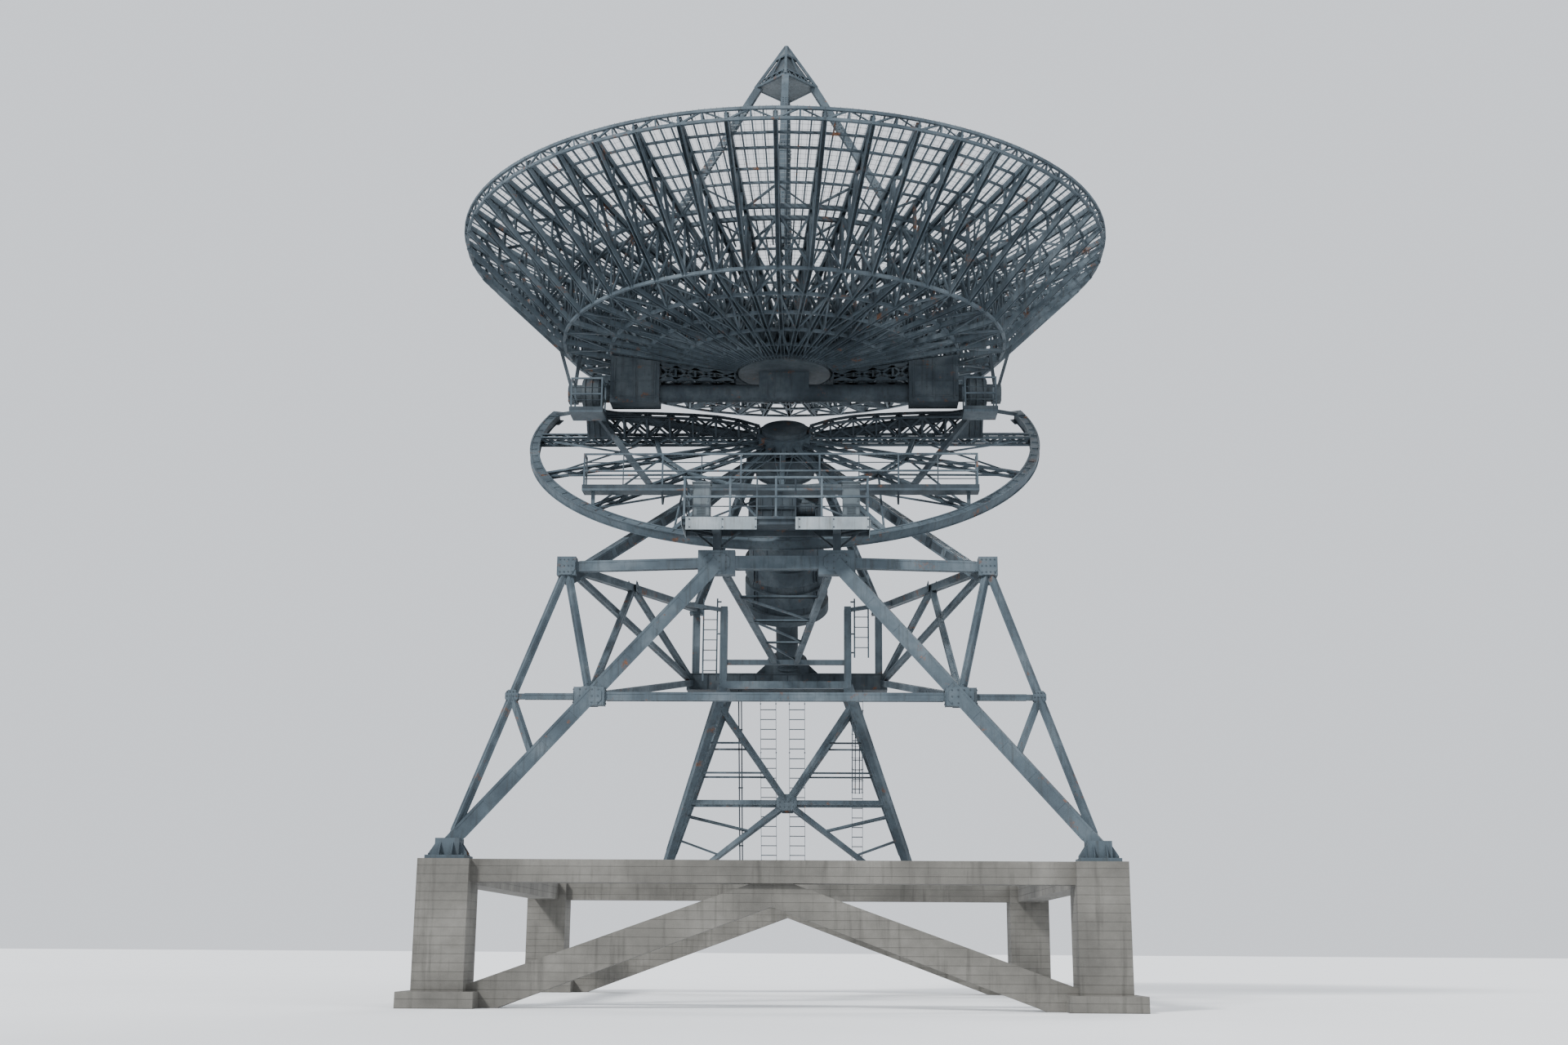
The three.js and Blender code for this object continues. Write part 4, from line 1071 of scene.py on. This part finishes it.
# Pedestal: the joints of the steel frame on its right side, and the members between them
joints = dict(
    foot=(7.25, -7.3, 3.56), neck=(4.33, -6.39, 7.0), outerNeck=(6.15, -6.38, 7.0),
    lowNeck=(5.555, -6.77, 5.56), head=(1.46, -5.5, 10.39), corner=(5.1, -5.5, 10.29),
    middle=(4.036, -0.7, 10.75), beamFoot=(5.08, -5.5, 9.98), rearTop=(2.75, 5.1, 11.3),
    rearBottom=(2.84, 5.1, 9.05), shoulder=(0.9, 1.302, 14.821),
)
members = (
    ("foot", "head", 0.32, 0.32, 0.9), ("foot", "corner", 0.14, 0.14, 1.1),
    ("neck", "outerNeck", 0.13, 0.13, 0.8), ("neck", "corner", 0.13, 0.13, 0.9),
    ("head", "corner", 0.18, 0.24, 0.8), ("corner", "rearTop", 0.18, 0.18, 0.9),
    ("neck", "rearBottom", 0.16, 0.16, 0.9), ("middle", "neck", 0.13, 0.13, 1.0),
    ("middle", "rearBottom", 0.13, 0.13, 1.0), ("corner", "rearBottom", 0.13, 0.13, 1.0),
    ("beamFoot", "shoulder", 0.26, 0.26, 0.75), ("rearTop", "shoulder", 0.2, 0.2, 0.8),
)
cladding = dict(
    inset=0.3, shoulderInset=0.42, tie=(3.93, 0.18, 0.18, 0.9), topBeam=(1.0, 0.26, 0.3, 0.5),
)


def joint(side, name):
    x, y, z = joints[name]
    return Vector((side * x, y, z))


def memberCladding():
    s = SimpleNamespace(**cladding)
    shape = Shape()
    for side in sides:
        for start, end, *size in members:
            a, b = joint(side, start), joint(side, end)
            run = (b - a).normalized()
            inset = s.shoulderInset if end == "shoulder" else s.inset
            shape.clad(a + run * s.inset, b - run * inset, *size)
    for name, (half, *size) in (("neck", s.tie), ("head", s.topBeam)):
        _, y, z = joints[name]
        shape.clad((-half, y, z), (half, y, z), *size)
    finishShape(shape, "memberCladding", greySteel, "pedestal")


# Gusset plates at the joints, as name, width, height and distance from the joint, each with its bolts
gussets = dict(
    thickness=0.018, plateShare=(0.6, 0.62), boltShare=0.85,
    outline=((-0.6, -1), (0.6, -1), (1, -0.4), (1, 0.45), (0.55, 1), (-0.55, 1), (-1, 0.45), (-1, -0.4)),
    front=(("neck", 0.5, 0.36, 0.15), ("head", 0.54, 0.36, 0.14), ("corner", 0.36, 0.36, 0.18),
           ("outerNeck", 0.26, 0.24, 0.075), ("lowNeck", 0.22, 0.22, 0.075)),
    flank=(("middle", 0.42, 0.3, 0.1), ("rearBottom", 0.34, 0.3, 0.12), ("rearTop", 0.34, 0.34, 0.18),
           ("neck", 0.28, 0.36, 0.35)),
)


def jointPlate(shape, centre, normal, along, width, height):
    s = SimpleNamespace(**gussets)
    wide, high = along * width * s.plateShare[0], upward * height * s.plateShare[1]
    shape.plate([centre + wide * a + high * b for a, b in s.outline], s.thickness)
    face = centre + normal * s.thickness / 2
    for spot in gridSpots(face, along * width * s.boltShare, upward * height * s.boltShare, 4, 3):
        bolt("pedestal", spot, normal)


def jointPlates():
    shape = Shape()
    rightward, rearward = Vector((1, 0, 0)), Vector((0, 1, 0))
    views = ((gussets["front"], rearward, rightward), (gussets["flank"], rightward, rearward))
    for side in sides:
        for spots, normal, along in views:
            for name, width, height, off in spots:
                for way in sides:
                    centre = joint(side, name) + normal * way * (off + gussets["thickness"] / 2)
                    jointPlate(shape, centre, normal * way, along, width, height)
    finishShape(shape, "jointPlates", greySteel, "pedestal", bevel=0.004)


# Feet of the steel frame: fins and anchor bolts on the pillars, and on the soles of the rear tower
feet = dict(
    x=7.25, y=-7.3, top=3.2, finOff=0.14, finOut=0.27, finLift=0.08, plate=0.016,
    fin=((0, 0), (0.16, 0), (0.16, 0.06), (0, 0.3)), anchor=(0.028, 0.05), seed=11, anchorLift=0.095,
    anchorRows=(-0.37, -0.12, 0.12, 0.37), soleX=3.5, soleY=7.25, soleLift=0.06,
    soleFins=(-0.5, -0.17, 0.17, 0.5), soleFin=((-0.26, 0), (0.26, 0), (0.12, 0.2), (-0.12, 0.2)),
    soleAnchors=(0.62, 5, 0.22, 0.072),
)


def footDetail():
    s = SimpleNamespace(**feet)
    shape = Shape()
    anchors = []
    reach, columns, soleEdge, soleLift = s.soleAnchors
    edge = s.anchorRows[-1]
    for side in sides:
        x, y = side * s.x, s.y
        for dx, dy in ((1, 0), (-1, 0), (0, 1), (0, -1)):
            along = Vector((dx, dy, 0))
            for off in about(0, s.finOff):
                base = Vector((x + dy * off, y + dx * off, s.top + s.finLift)) + along * s.finOut
                shape.plate([base + along * out + upward * lift for out, lift in s.fin], s.plate)
        spots = []
        for i in s.anchorRows:
            for j in (-edge, edge):
                spots.append((x + i, y + j))
                if abs(i) < edge:
                    spots.append((x + j, y + i))
        anchors += [((*spot, s.top + s.anchorLift), upward) for spot in spots]
        for i in steps(-reach, reach, columns):
            for j in (-soleEdge, soleEdge):
                anchors.append(((side * s.soleX + i, s.soleY + j, s.top + soleLift), upward))
        for off in s.soleFins:
            x = side * s.soleX + off
            shape.plate([(x, s.soleY + out, s.top + s.soleLift + lift) for out, lift in s.soleFin], s.plate)
    finishShape(shape, "footStiffeners", greySteel, "pedestal", bevel=0.002)
    studs(anchors, *s.anchor, "anchorBolts", darkSteel, "pedestal", s.seed)


# Rear tower: battens on its legs, light bracing between its faces, and plates where bars cross
tower = dict(
    foot=(3.85, 7.25, 3.25), topX=1.8, rows=(3.2, 5.6), topZ=8.68, waist=0.42, cladShares=(0.16, 0.94),
    leg=(0.22, 0.22, 0.8), webShares=(0.3, 0.42, 0.56, 0.7, 0.84, 0.96), web=0.06, tie=0.055, upper=0.92,
    upperShares=(0.3, 0.6), low=(3.15, 3.24), lowShares=(0.35, 0.65), lowShift=0.2, plateOut=0.094,
    plate=0.016, plateSize=(0.3, 0.24), boltField=(0.4, 0.28),
    outline=((-1, -0.5), (-0.5, -1), (0.5, -1), (1, -0.5), (1, 0.5), (0.5, 1), (-0.5, 1), (-1, 0.5)),
)


def towerDetail():
    s = SimpleNamespace(**tower)
    shape = Shape()
    for side in sides:
        foot = Vector((side * s.foot[0], *s.foot[1:]))
        low = Vector((side * s.low[0], foot.y, s.low[1]))
        tops = [Vector((side * s.topX, y, s.topZ)) for y in s.rows]
        for a, b in pairs(s.webShares):
            (frontA, frontB), (rearA, rearB) = ([foot.lerp(top, share) for share in (a, b)] for top in tops)
            for start, end in ((frontA, rearB), (rearA, frontB), (frontB, rearB)):
                shape.angle(start, end, s.web)
        for top in tops:
            shape.clad(*(foot.lerp(top, share) for share in s.cladShares), *s.leg)
            bend = foot.lerp(top, s.waist)
            heart = Vector((0, bend.y, bend.z))
            for share in s.upperShares:
                at = foot.lerp(top, s.waist + (s.upper - s.waist) * share)
                shape.angle(at, heart.lerp(foot.lerp(top, s.upper), share), s.tie)
            for share in s.lowShares:
                shape.angle(low.lerp(heart, share), foot.lerp(bend, share + s.lowShift), s.tie)
    wide, high = s.plateSize
    for y in s.rows:
        heart = lerp(s.foot, (s.topX, y, s.topZ), s.waist)
        for way in sides:
            middle = Vector((0, heart.y + way * s.plateOut, heart.z))
            shape.plate([middle + Vector((a * wide, 0, b * high)) for a, b in s.outline], s.plate)
            face = middle + Vector((0, way * s.plate / 2, 0))
            for spot in gridSpots(face, (s.boltField[0], 0, 0), (0, 0, s.boltField[1]), 4, 3):
                bolt("pedestal", spot, (0, way, 0))
    finishShape(shape, "towerBracing", greySteel, "pedestal")


# Hoops round the housing of a polar bearing, and a cap with a circle of bolts at each of its ends
def bearingRings(shape, settings):
    s = SimpleNamespace(**settings)
    for drop in s.hoops:
        shape.ring(s.hoop, about(0, s.hoopHalf), polar(0, 0, -drop), polarAxis, s.hoopFacets)
    for drop, way in zip(s.caps, (1, -1)):
        shape.ring(s.cap, (0, s.capThick), polar(0, 0, -drop), polarAxis * way, s.capFacets)
        boltCircle("pedestal", s.bolts, s.boltCircle, way * s.boltOut - drop, polarAxis * way)


# Cross box on the tower: web stiffeners and flanges on the rear beam, its saddle and the lower bearing
crossBeam = dict(
    half=3.0, faces=(4.84, 5.36), flanges=(8.815, 9.285), flangeHalf=0.014, flangeReach=(-0.02, 0.01),
    webs=(-2.85, 2.85, 12), webHalf=(0.008, 0.025), webHeights=(8.83, 9.27), saddleGap=0.68,
    saddles=(5.0, 5.4, 5.8), saddle=((0.65, 9.3), (0.95, 9.3), (0.65, 9.58)), plate=0.016,
)
lowerBearing = dict(
    hoops=(8.56, 8.85, 9.14), hoop=(0.558, 0.6), hoopHalf=0.025, hoopFacets=64, caps=(8.499, 9.201),
    cap=(0.345, 0.53), capThick=0.02, capFacets=48, bolts=12, boltCircle=0.45, boltOut=0.024,
)
upperBearing = dict(
    hoops=(1.79, 2.12, 2.46), hoop=(0.818, 0.836), hoopHalf=0.025, hoopFacets=72, caps=(1.749, 2.501),
    cap=(0.5, 0.78), capThick=0.022, capFacets=64, bolts=16, boltCircle=0.64, boltOut=0.026,
)


def crossBeamDetail():
    s = SimpleNamespace(**crossBeam)
    shape = Shape()
    front = s.faces[0]
    for z in s.flanges:
        ys = [front + reach for reach in s.flangeReach]
        shape.box(about(0, s.half), ys, about(z, s.flangeHalf))
    thin, deep = s.webHalf
    for y in s.faces:
        for x in steps(*s.webs):
            if y == front or abs(x) >= s.saddleGap:
                shape.box(about(x, thin), about(y, deep), s.webHeights)
    for side in sides:
        for y in s.saddles:
            shape.plate([(side * x, y, z) for x, z in s.saddle], s.plate)
    bearingRings(shape, lowerBearing)
    finishShape(shape, "crossBeamStiffeners", darkSteel, "pedestal", bevel=0.002)


def upperBearingDetail():
    shape = Shape()
    bearingRings(shape, upperBearing)
    finishShape(shape, "upperBearingFlanges", darkSteel, "pedestal", bevel=0.003)


# Ladders: two flat rails and round rungs. Gives the direction square to the ladder.
ladder = dict(rail=(0.045, 0.014), rung=0.014, facets=8, pitch=0.3)


def ladderAt(shape, foot, head, width):
    foot, head = Vector(foot), Vector(head)
    run = (head - foot).normalized()
    half = Vector((width / 2, 0, 0))
    up = (1, 0, 0) if abs(run.z) < 0.999 else (0, 1, 0)
    for way in sides:
        shape.bar(foot + half * way, head + half * way, *ladder["rail"], up)
    for i in range(1, int((head - foot).length / ladder["pitch"])):
        at = foot + run * i * ladder["pitch"]
        shape.rod(at - half, at + half, ladder["rung"], ladder["facets"])
    return Vector((1, 0, 0)).cross(run)


# Portal between the trusses with its two short ladders, and the long braces that lead to it
portal = dict(
    x=2.2, y=3.2, lows=(8.82, 9.5), high=11.25, width=0.4, armUp=0.15, armMiddle=10.2, armDown=0.1,
    armX=(2.0, 1.88), arm=0.04, column=(1.8, 3.2, 8.86, 10.9), columnSize=(0.2, 0.2, 0.7),
    post=(2.75, 5.1, 9.35, 11.05), postSize=(0.2, 0.2, 0.6), braceStart=(1.3, -5.5, 10.21),
    braceEnd=(0.3, 3.2, 9.36), braceShares=(0.04, 0.97), braceSize=(0.14, 0.14, 1.0),
    crossShares=(0.25, 0.5, 0.75, 0.97), cross=0.06, diagonal=0.05,
)


def portalDetail():
    s = SimpleNamespace(**portal)
    shape = Shape()

    def onBrace(side, share):
        x, y, z = lerp(s.braceStart, s.braceEnd, share)
        return Vector((side * x, y, z))

    for side, low in zip(sides, s.lows):
        ladderAt(shape, (side * s.x, s.y, low), (side * s.x, s.y, s.high), s.width)
        for z in (low + s.armUp, s.armMiddle, s.high - s.armDown):
            shape.bar(*((side * x, s.y, z) for x in s.armX), s.arm)
        for (x, y, *heights), size in ((s.column, s.columnSize), (s.post, s.postSize)):
            shape.clad(*((side * x, y, z) for z in heights), *size)
        shape.clad(*(onBrace(side, share) for share in s.braceShares), *s.braceSize)
        for share in s.crossShares[:-1]:
            shape.angle(onBrace(side, share), onBrace(-side, share), s.cross)
    for one, two in pairs(s.crossShares):
        shape.angle(onBrace(-1, one), onBrace(1, two), s.diagonal)
    finishShape(shape, "portalLadders", greySteel, "pedestal")


# Drive platform: grating, extra rails and posts, brackets, and fascia panels with battens
deck = dict(
    half=2.25, front=-6.6, rear=-5.2, top=11.29, inset=0.08, rearInset=0.05, rise=0.016, railX=2.19,
    railIn=0.05, rails=(0.26, 0.74), rail=0.014, rearGap=0.06, posts=(-0.45, 0.47), post=(0.97, 0.022, 8),
    brackets=(-6.3, -5.9, -5.5), bracket=((1.56, -0.2), (2.2, -0.075)), bracketSize=(0.05, 0.008),
    strut=(1.46, -5.45, 10.74, 0.55, -0.1), fascia=((-2.15, -0.45), (0.47, 2.22)),
    fasciaReach=(-0.012, 0.002), fasciaHeights=(-0.32, -0.012), batten=0.012, battenIn=0.06,
    battenReach=(-0.022, -0.01), battenHeights=(-0.3, -0.03), boltSpot=(0.035, -0.013),
    boltDrops=(0.07, 0.26), flank=0.007, flankIn=0.02, flankHeights=(-0.2, -0.012),
)


def deckDetail():
    s = SimpleNamespace(**deck)
    shape, panels = Shape(), Shape()
    xs = about(0, s.half - s.inset)
    grating(shape, xs, (s.front + s.inset, s.rear - s.rearInset), s.top + s.rise)
    y = s.front + s.railIn
    for z in (s.top + rise for rise in s.rails):
        shape.rod((-s.railX, y, z), (s.railX, y, z), s.rail)
        for x in about(0, s.railX):
            shape.rod((x, y, z), (x, s.rear - s.rearGap, z), s.rail)
    height, *size = s.post
    for x in s.posts:
        shape.rod((x, y, s.top), (x, y, s.top + height), *size)
    strutX, strutY, strutZ, spread, down = s.strut
    for side in sides:
        for y in s.brackets:
            shape.angle(*((side * x, y, s.top + z) for x, z in s.bracket), *s.bracketSize)
        for x in (strutX, -strutX):
            head = (x + side * spread, strutY, s.top + down)
            shape.angle((x, strutY, strutZ), head, *s.bracketSize)
    finishShape(shape, "platformGrating", darkSteel, "pedestal")

    def levels(base, reach):
        return [base + off for off in reach]

    for low, high in s.fascia:
        panels.box((low, high), levels(s.front, s.fasciaReach), levels(s.top, s.fasciaHeights))
        for x in (low + s.battenIn, (low + high) / 2, high - s.battenIn):
            reach, heights = levels(s.front, s.battenReach), levels(s.top, s.battenHeights)
            panels.box(about(x, s.batten), reach, heights)
            for drop in s.boltDrops:
                at = (x + s.boltSpot[0], s.front + s.boltSpot[1], s.top - drop)
                bolt("pedestal", at, (0, -1, 0))
    for side in sides:
        ys = (s.front + s.flankIn, s.rear - s.flankIn)
        panels.box(about(side * s.half, s.flank), ys, levels(s.top, s.flankHeights))
    # The fascia takes the lighter copy of the panel paint: painted light on its front face
    finishShape(panels, "platformFascia", paintedLightPanelSteel, "pedestal", bevel=0.003)


# Gearbox: ribs and a flange on its casing, a breather, and the motor's fins, cap and terminal box
gear = dict(
    half=0.45, ys=(-5.9, -5.32), top=11.29, split=0.34, flange=(0.035, 0.05), bite=0.001,
    ribs=(-0.36, -0.12, 0.12, 0.36), rib=(0.012, 0.022), ribHeights=(0.02, 0.64),
    boltSpot=(0.06, 0.02, 0.052),
    lidIn=0.05, lid=(0.689, 0.712), breather=((0.03, 0.07), (0, 0.05), (0.18, -5.61, 12.0)),
    motor=(-5.61, 11.69), fins=(0.5, 0.822, 7), fin=((0.165, 0.19), (0, 0.012)),
    cap=((0.001, 0), (0.155, 0), (0.15, 0.03), (0.001, 0.03)), capX=0.9,
    terminal=((0.6, 0.76), (-5.7, -5.52), (11.85, 11.92)),
)


def gearboxDetail():
    s = SimpleNamespace(**gear)
    shape = Shape()
    z = s.top + s.split
    out, thick = s.flange
    band = (z, z + thick)
    for y, way in zip(s.ys, sides):
        shape.box(about(0, s.half + out), (y + way * out, y - way * s.bite), band)
    shape.box((-s.half - out, -s.half + s.bite), s.ys, band)
    thin, deep = s.rib
    aside, outward, above = s.boltSpot
    for x in s.ribs:
        for y, way in zip(s.ys, sides):
            heights = [s.top + height for height in s.ribHeights]
            shape.box(about(x, thin), (y + way * deep, y - way * s.bite), heights)
            bolt("pedestal", (x + aside, y + way * outward, z + above), upward)
    front, rear = s.ys
    lid = [s.top + height for height in s.lid]
    shape.box(about(0, s.half - s.lidIn), (front + s.lidIn, rear - s.lidIn), lid)
    shape.ring(*s.breather, facets=24)
    along = (1, 0, 0)
    for x in steps(*s.fins):
        shape.ring(*s.fin, (x, *s.motor), along, 32)
    shape.turned(s.cap, (s.capX, *s.motor), along, 32)
    shape.box(*s.terminal)
    finishShape(shape, "gearboxRibs", darkSteel, "pedestal", bevel=0.003)


# Cabinets: a rain lip, doors with hinges and a handle, and louvres
cabinet = dict(
    x=1.8, y=-6.15, half=(0.21, 0.2), low=11.29, high=12.19, lip=(0.02, 0.03, 0.02),
    lipHeights=(-0.001, 0.025), doorIn=0.02, doorReach=(-0.014, 0.001), doorHeights=(0.06, -0.05),
    hinge=(0.015, -0.012, 0.09, 0.012), hingeFacets=8, hingeLifts=(0.2, 0.7), handleX=(-0.07, -0.05),
    handleReach=(-0.035, -0.013), handleLifts=(0.42, 0.56), louvres=(0.12, 0.27, 5), louvreHalf=0.11,
    louvre=((-0.028, 0), (-0.014, 0.014)), louvreThick=0.003,
)


def cabinetDetail():
    s = SimpleNamespace(**cabinet)
    shape = Shape()
    for side in sides:
        x = side * s.x
        left, right = about(x, s.half[0])
        front, rear = about(s.y, s.half[1])
        beside, ahead, behind = s.lip
        heights = [s.high + rise for rise in s.lipHeights]
        shape.box((left - beside, right + beside), (front - ahead, rear + behind), heights)
        heights = (s.low + s.doorHeights[0], s.high + s.doorHeights[1])
        shape.box((left + s.doorIn, right - s.doorIn), [front + reach for reach in s.doorReach], heights)
        inward, off, long, radius = s.hinge
        for z in (s.low + lift for lift in s.hingeLifts):
            ends = ((left + inward, front + off, end) for end in (z, z + long))
            shape.rod(*ends, radius, s.hingeFacets)
        ys = [front + reach for reach in s.handleReach]
        shape.box([right + off for off in s.handleX], ys, [s.low + lift for lift in s.handleLifts])
        for lift in steps(*s.louvres):
            (foot, footRise), (head, headRise) = s.louvre
            a, b = about(x, s.louvreHalf)
            low, high = s.low + lift + footRise, s.low + lift + headRise
            lower = [(a, front + foot, low), (b, front + foot, low)]
            upper = [(b, front + head, high), (a, front + head, high)]
            shape.plate(lower + upper, s.louvreThick)
    finishShape(shape, "cabinetDoors", panelSteel, "pedestal", bevel=0.003)


# Ladders on the rear tower with the full number of rungs, and the hoops and straps of the cage
climb = dict(
    head=(4.9, 8.79), foot=(7.05, 3.2), xs=(0.3, -0.56), width=0.46, bracketShares=(0.12, 0.4, 0.68, 0.93),
    bracketLong=0.1, bracket=(0.04, 0.012),
)
cage = dict(
    x=2.11, footY=7.19, width=0.32, radii=(0.165, 0.2), sides=8, hoops=(0.48, 0.9, 7), hoop=(0.045, 0.008),
    straps=(0.475, 0.905), strap=(0.03, 0.008),
)


def towerLadders():
    s, c = SimpleNamespace(**climb), SimpleNamespace(**cage)
    shape, caged = Shape(), Shape()
    for x in s.xs:
        foot, head = (x, *s.foot), (x, *s.head)
        inward = ladderAt(shape, foot, head, s.width) * -s.bracketLong
        for share in s.bracketShares:
            for way in sides:
                at = lerp(foot, head, share) + Vector((way * s.width / 2, 0, 0))
                shape.bar(at, at + inward, *s.bracket)
    finishShape(shape, "towerLadders", greySteel, "pedestal", ("ladder_centre", "ladder_left"))
    foot, head = (c.x, c.footY, s.foot[1]), (c.x, *s.head)
    ladderAt(caged, foot, head, c.width)
    wide, deep = c.radii
    spots = [Vector((wide * math.cos(a), deep * math.sin(a), 0)) for a in steps(0, math.pi, c.sides)]
    for share in steps(*c.hoops):
        centre = lerp(foot, head, share)
        for a, b in pairs(spots):
            caged.bar(centre + a, centre + b, *c.hoop)
    for spot in spots[1:-1:2]:
        caged.bar(*(lerp(foot, head, share) + spot for share in c.straps), *c.strap)
    finishShape(caged, "cagedLadder", greySteel, "pedestal", ("ladder_caged",))


# Railing of the drive platform keeps its CAD form. Small clamps and base plates sit on its posts.
clamps = dict(
    xs=(-2.19, 2.19, 4), y=-6.55, half=0.034, tall=0.03, lifts=(0.5, 0.975), base=(0.06, 0.05, 0.012),
)


def postClamps():
    s = SimpleNamespace(**clamps)
    shape = Shape()
    floor = deck["top"]
    wide, deep, thick = s.base
    for x in steps(*s.xs):
        for lift in s.lifts:
            shape.box(about(x, s.half), about(s.y, s.half), about(floor + lift, s.tall))
        shape.box(about(x, wide), about(s.y, deep), (floor, floor + thick))
    finishShape(shape, "railClamps", greySteel, "pedestal", bevel=0.003)


memberCladding()
jointPlates()
footDetail()
towerDetail()
crossBeamDetail()
upperBearingDetail()
portalDetail()
deckDetail()
gearboxDetail()
cabinetDetail()
towerLadders()
postClamps()
for body, spots in boltSpots.items():
    studs(spots, boltSize["radius"], boltSize["height"], "bolts." + body, darkSteel, body)
print("stage: pedestal done")


# Stage: pale floor, soft light, and the camera where the photograph was taken from, with a longer lens
stage = dict(
    floor=900.0, below=0.002, tone=(0.74, 0.75, 0.76), sky=(0.8, 0.84, 0.9), skyStrength=1.25,
    camera=(1.3, -46.8, 1.3), pitch=13.75, yaw=1.57, roll=0.36, lens=40.0, farthest=2000,
    lights=(("key", (52, 0, -38), 4.2, 8), ("fill", (62, 0, 55), 0.8, 30), ("back", (50, 0, 165), 1.4, 20)),
)


def addObject(name, data):
    thing = bpy.data.objects.new(name, data)
    bpy.context.scene.collection.objects.link(thing)
    return thing


def buildStage():
    s = SimpleNamespace(**stage)
    half = s.floor / 2
    ground = bpy.data.meshes.new("floor")
    corners = [(half * x, half * y, -s.below) for x, y in squareCorners]
    ground.from_pydata(corners, [], [(0, 1, 2, 3)])
    material, tree, shader, coords = startMaterial("floorTone")
    faint = noise(tree, coords, 0.15, 3, 0.5)
    tone = ramp(tree, faint, [(0.3, tuple(c * 0.97 for c in s.tone)), (0.7, s.tone)])
    feed(tree, shader, {"Base Color": tone, "Roughness": 0.95})
    ground.materials.append(material)
    floor = addObject("floor", ground)
    world = bpy.data.worlds.new("sky")
    world.use_nodes = True
    back = world.node_tree.nodes["Background"]
    back.inputs["Color"].default_value = (*s.sky, 1)
    back.inputs["Strength"].default_value = s.skyStrength
    bpy.context.scene.world = world
    for name, turn, energy, angle in s.lights:
        light = bpy.data.lights.new(name, "SUN")
        light.energy = energy
        light.angle = math.radians(angle)
        addObject(name, light).rotation_euler = [math.radians(a) for a in turn]
    lens = bpy.data.cameras.new("camera")
    lens.lens = s.lens
    lens.clip_end = s.farthest
    camera = addObject("camera", lens)
    pitch, yaw, roll = (math.radians(angle) for angle in (s.pitch, s.yaw, s.roll))
    turn = Matrix.Rotation(yaw, 4, "Z") @ Matrix.Rotation(math.pi / 2 + pitch, 4, "X")
    camera.matrix_world = Matrix.Translation(s.camera) @ turn @ Matrix.Rotation(roll, 4, "Z")
    bpy.context.scene.camera = camera


buildStage()
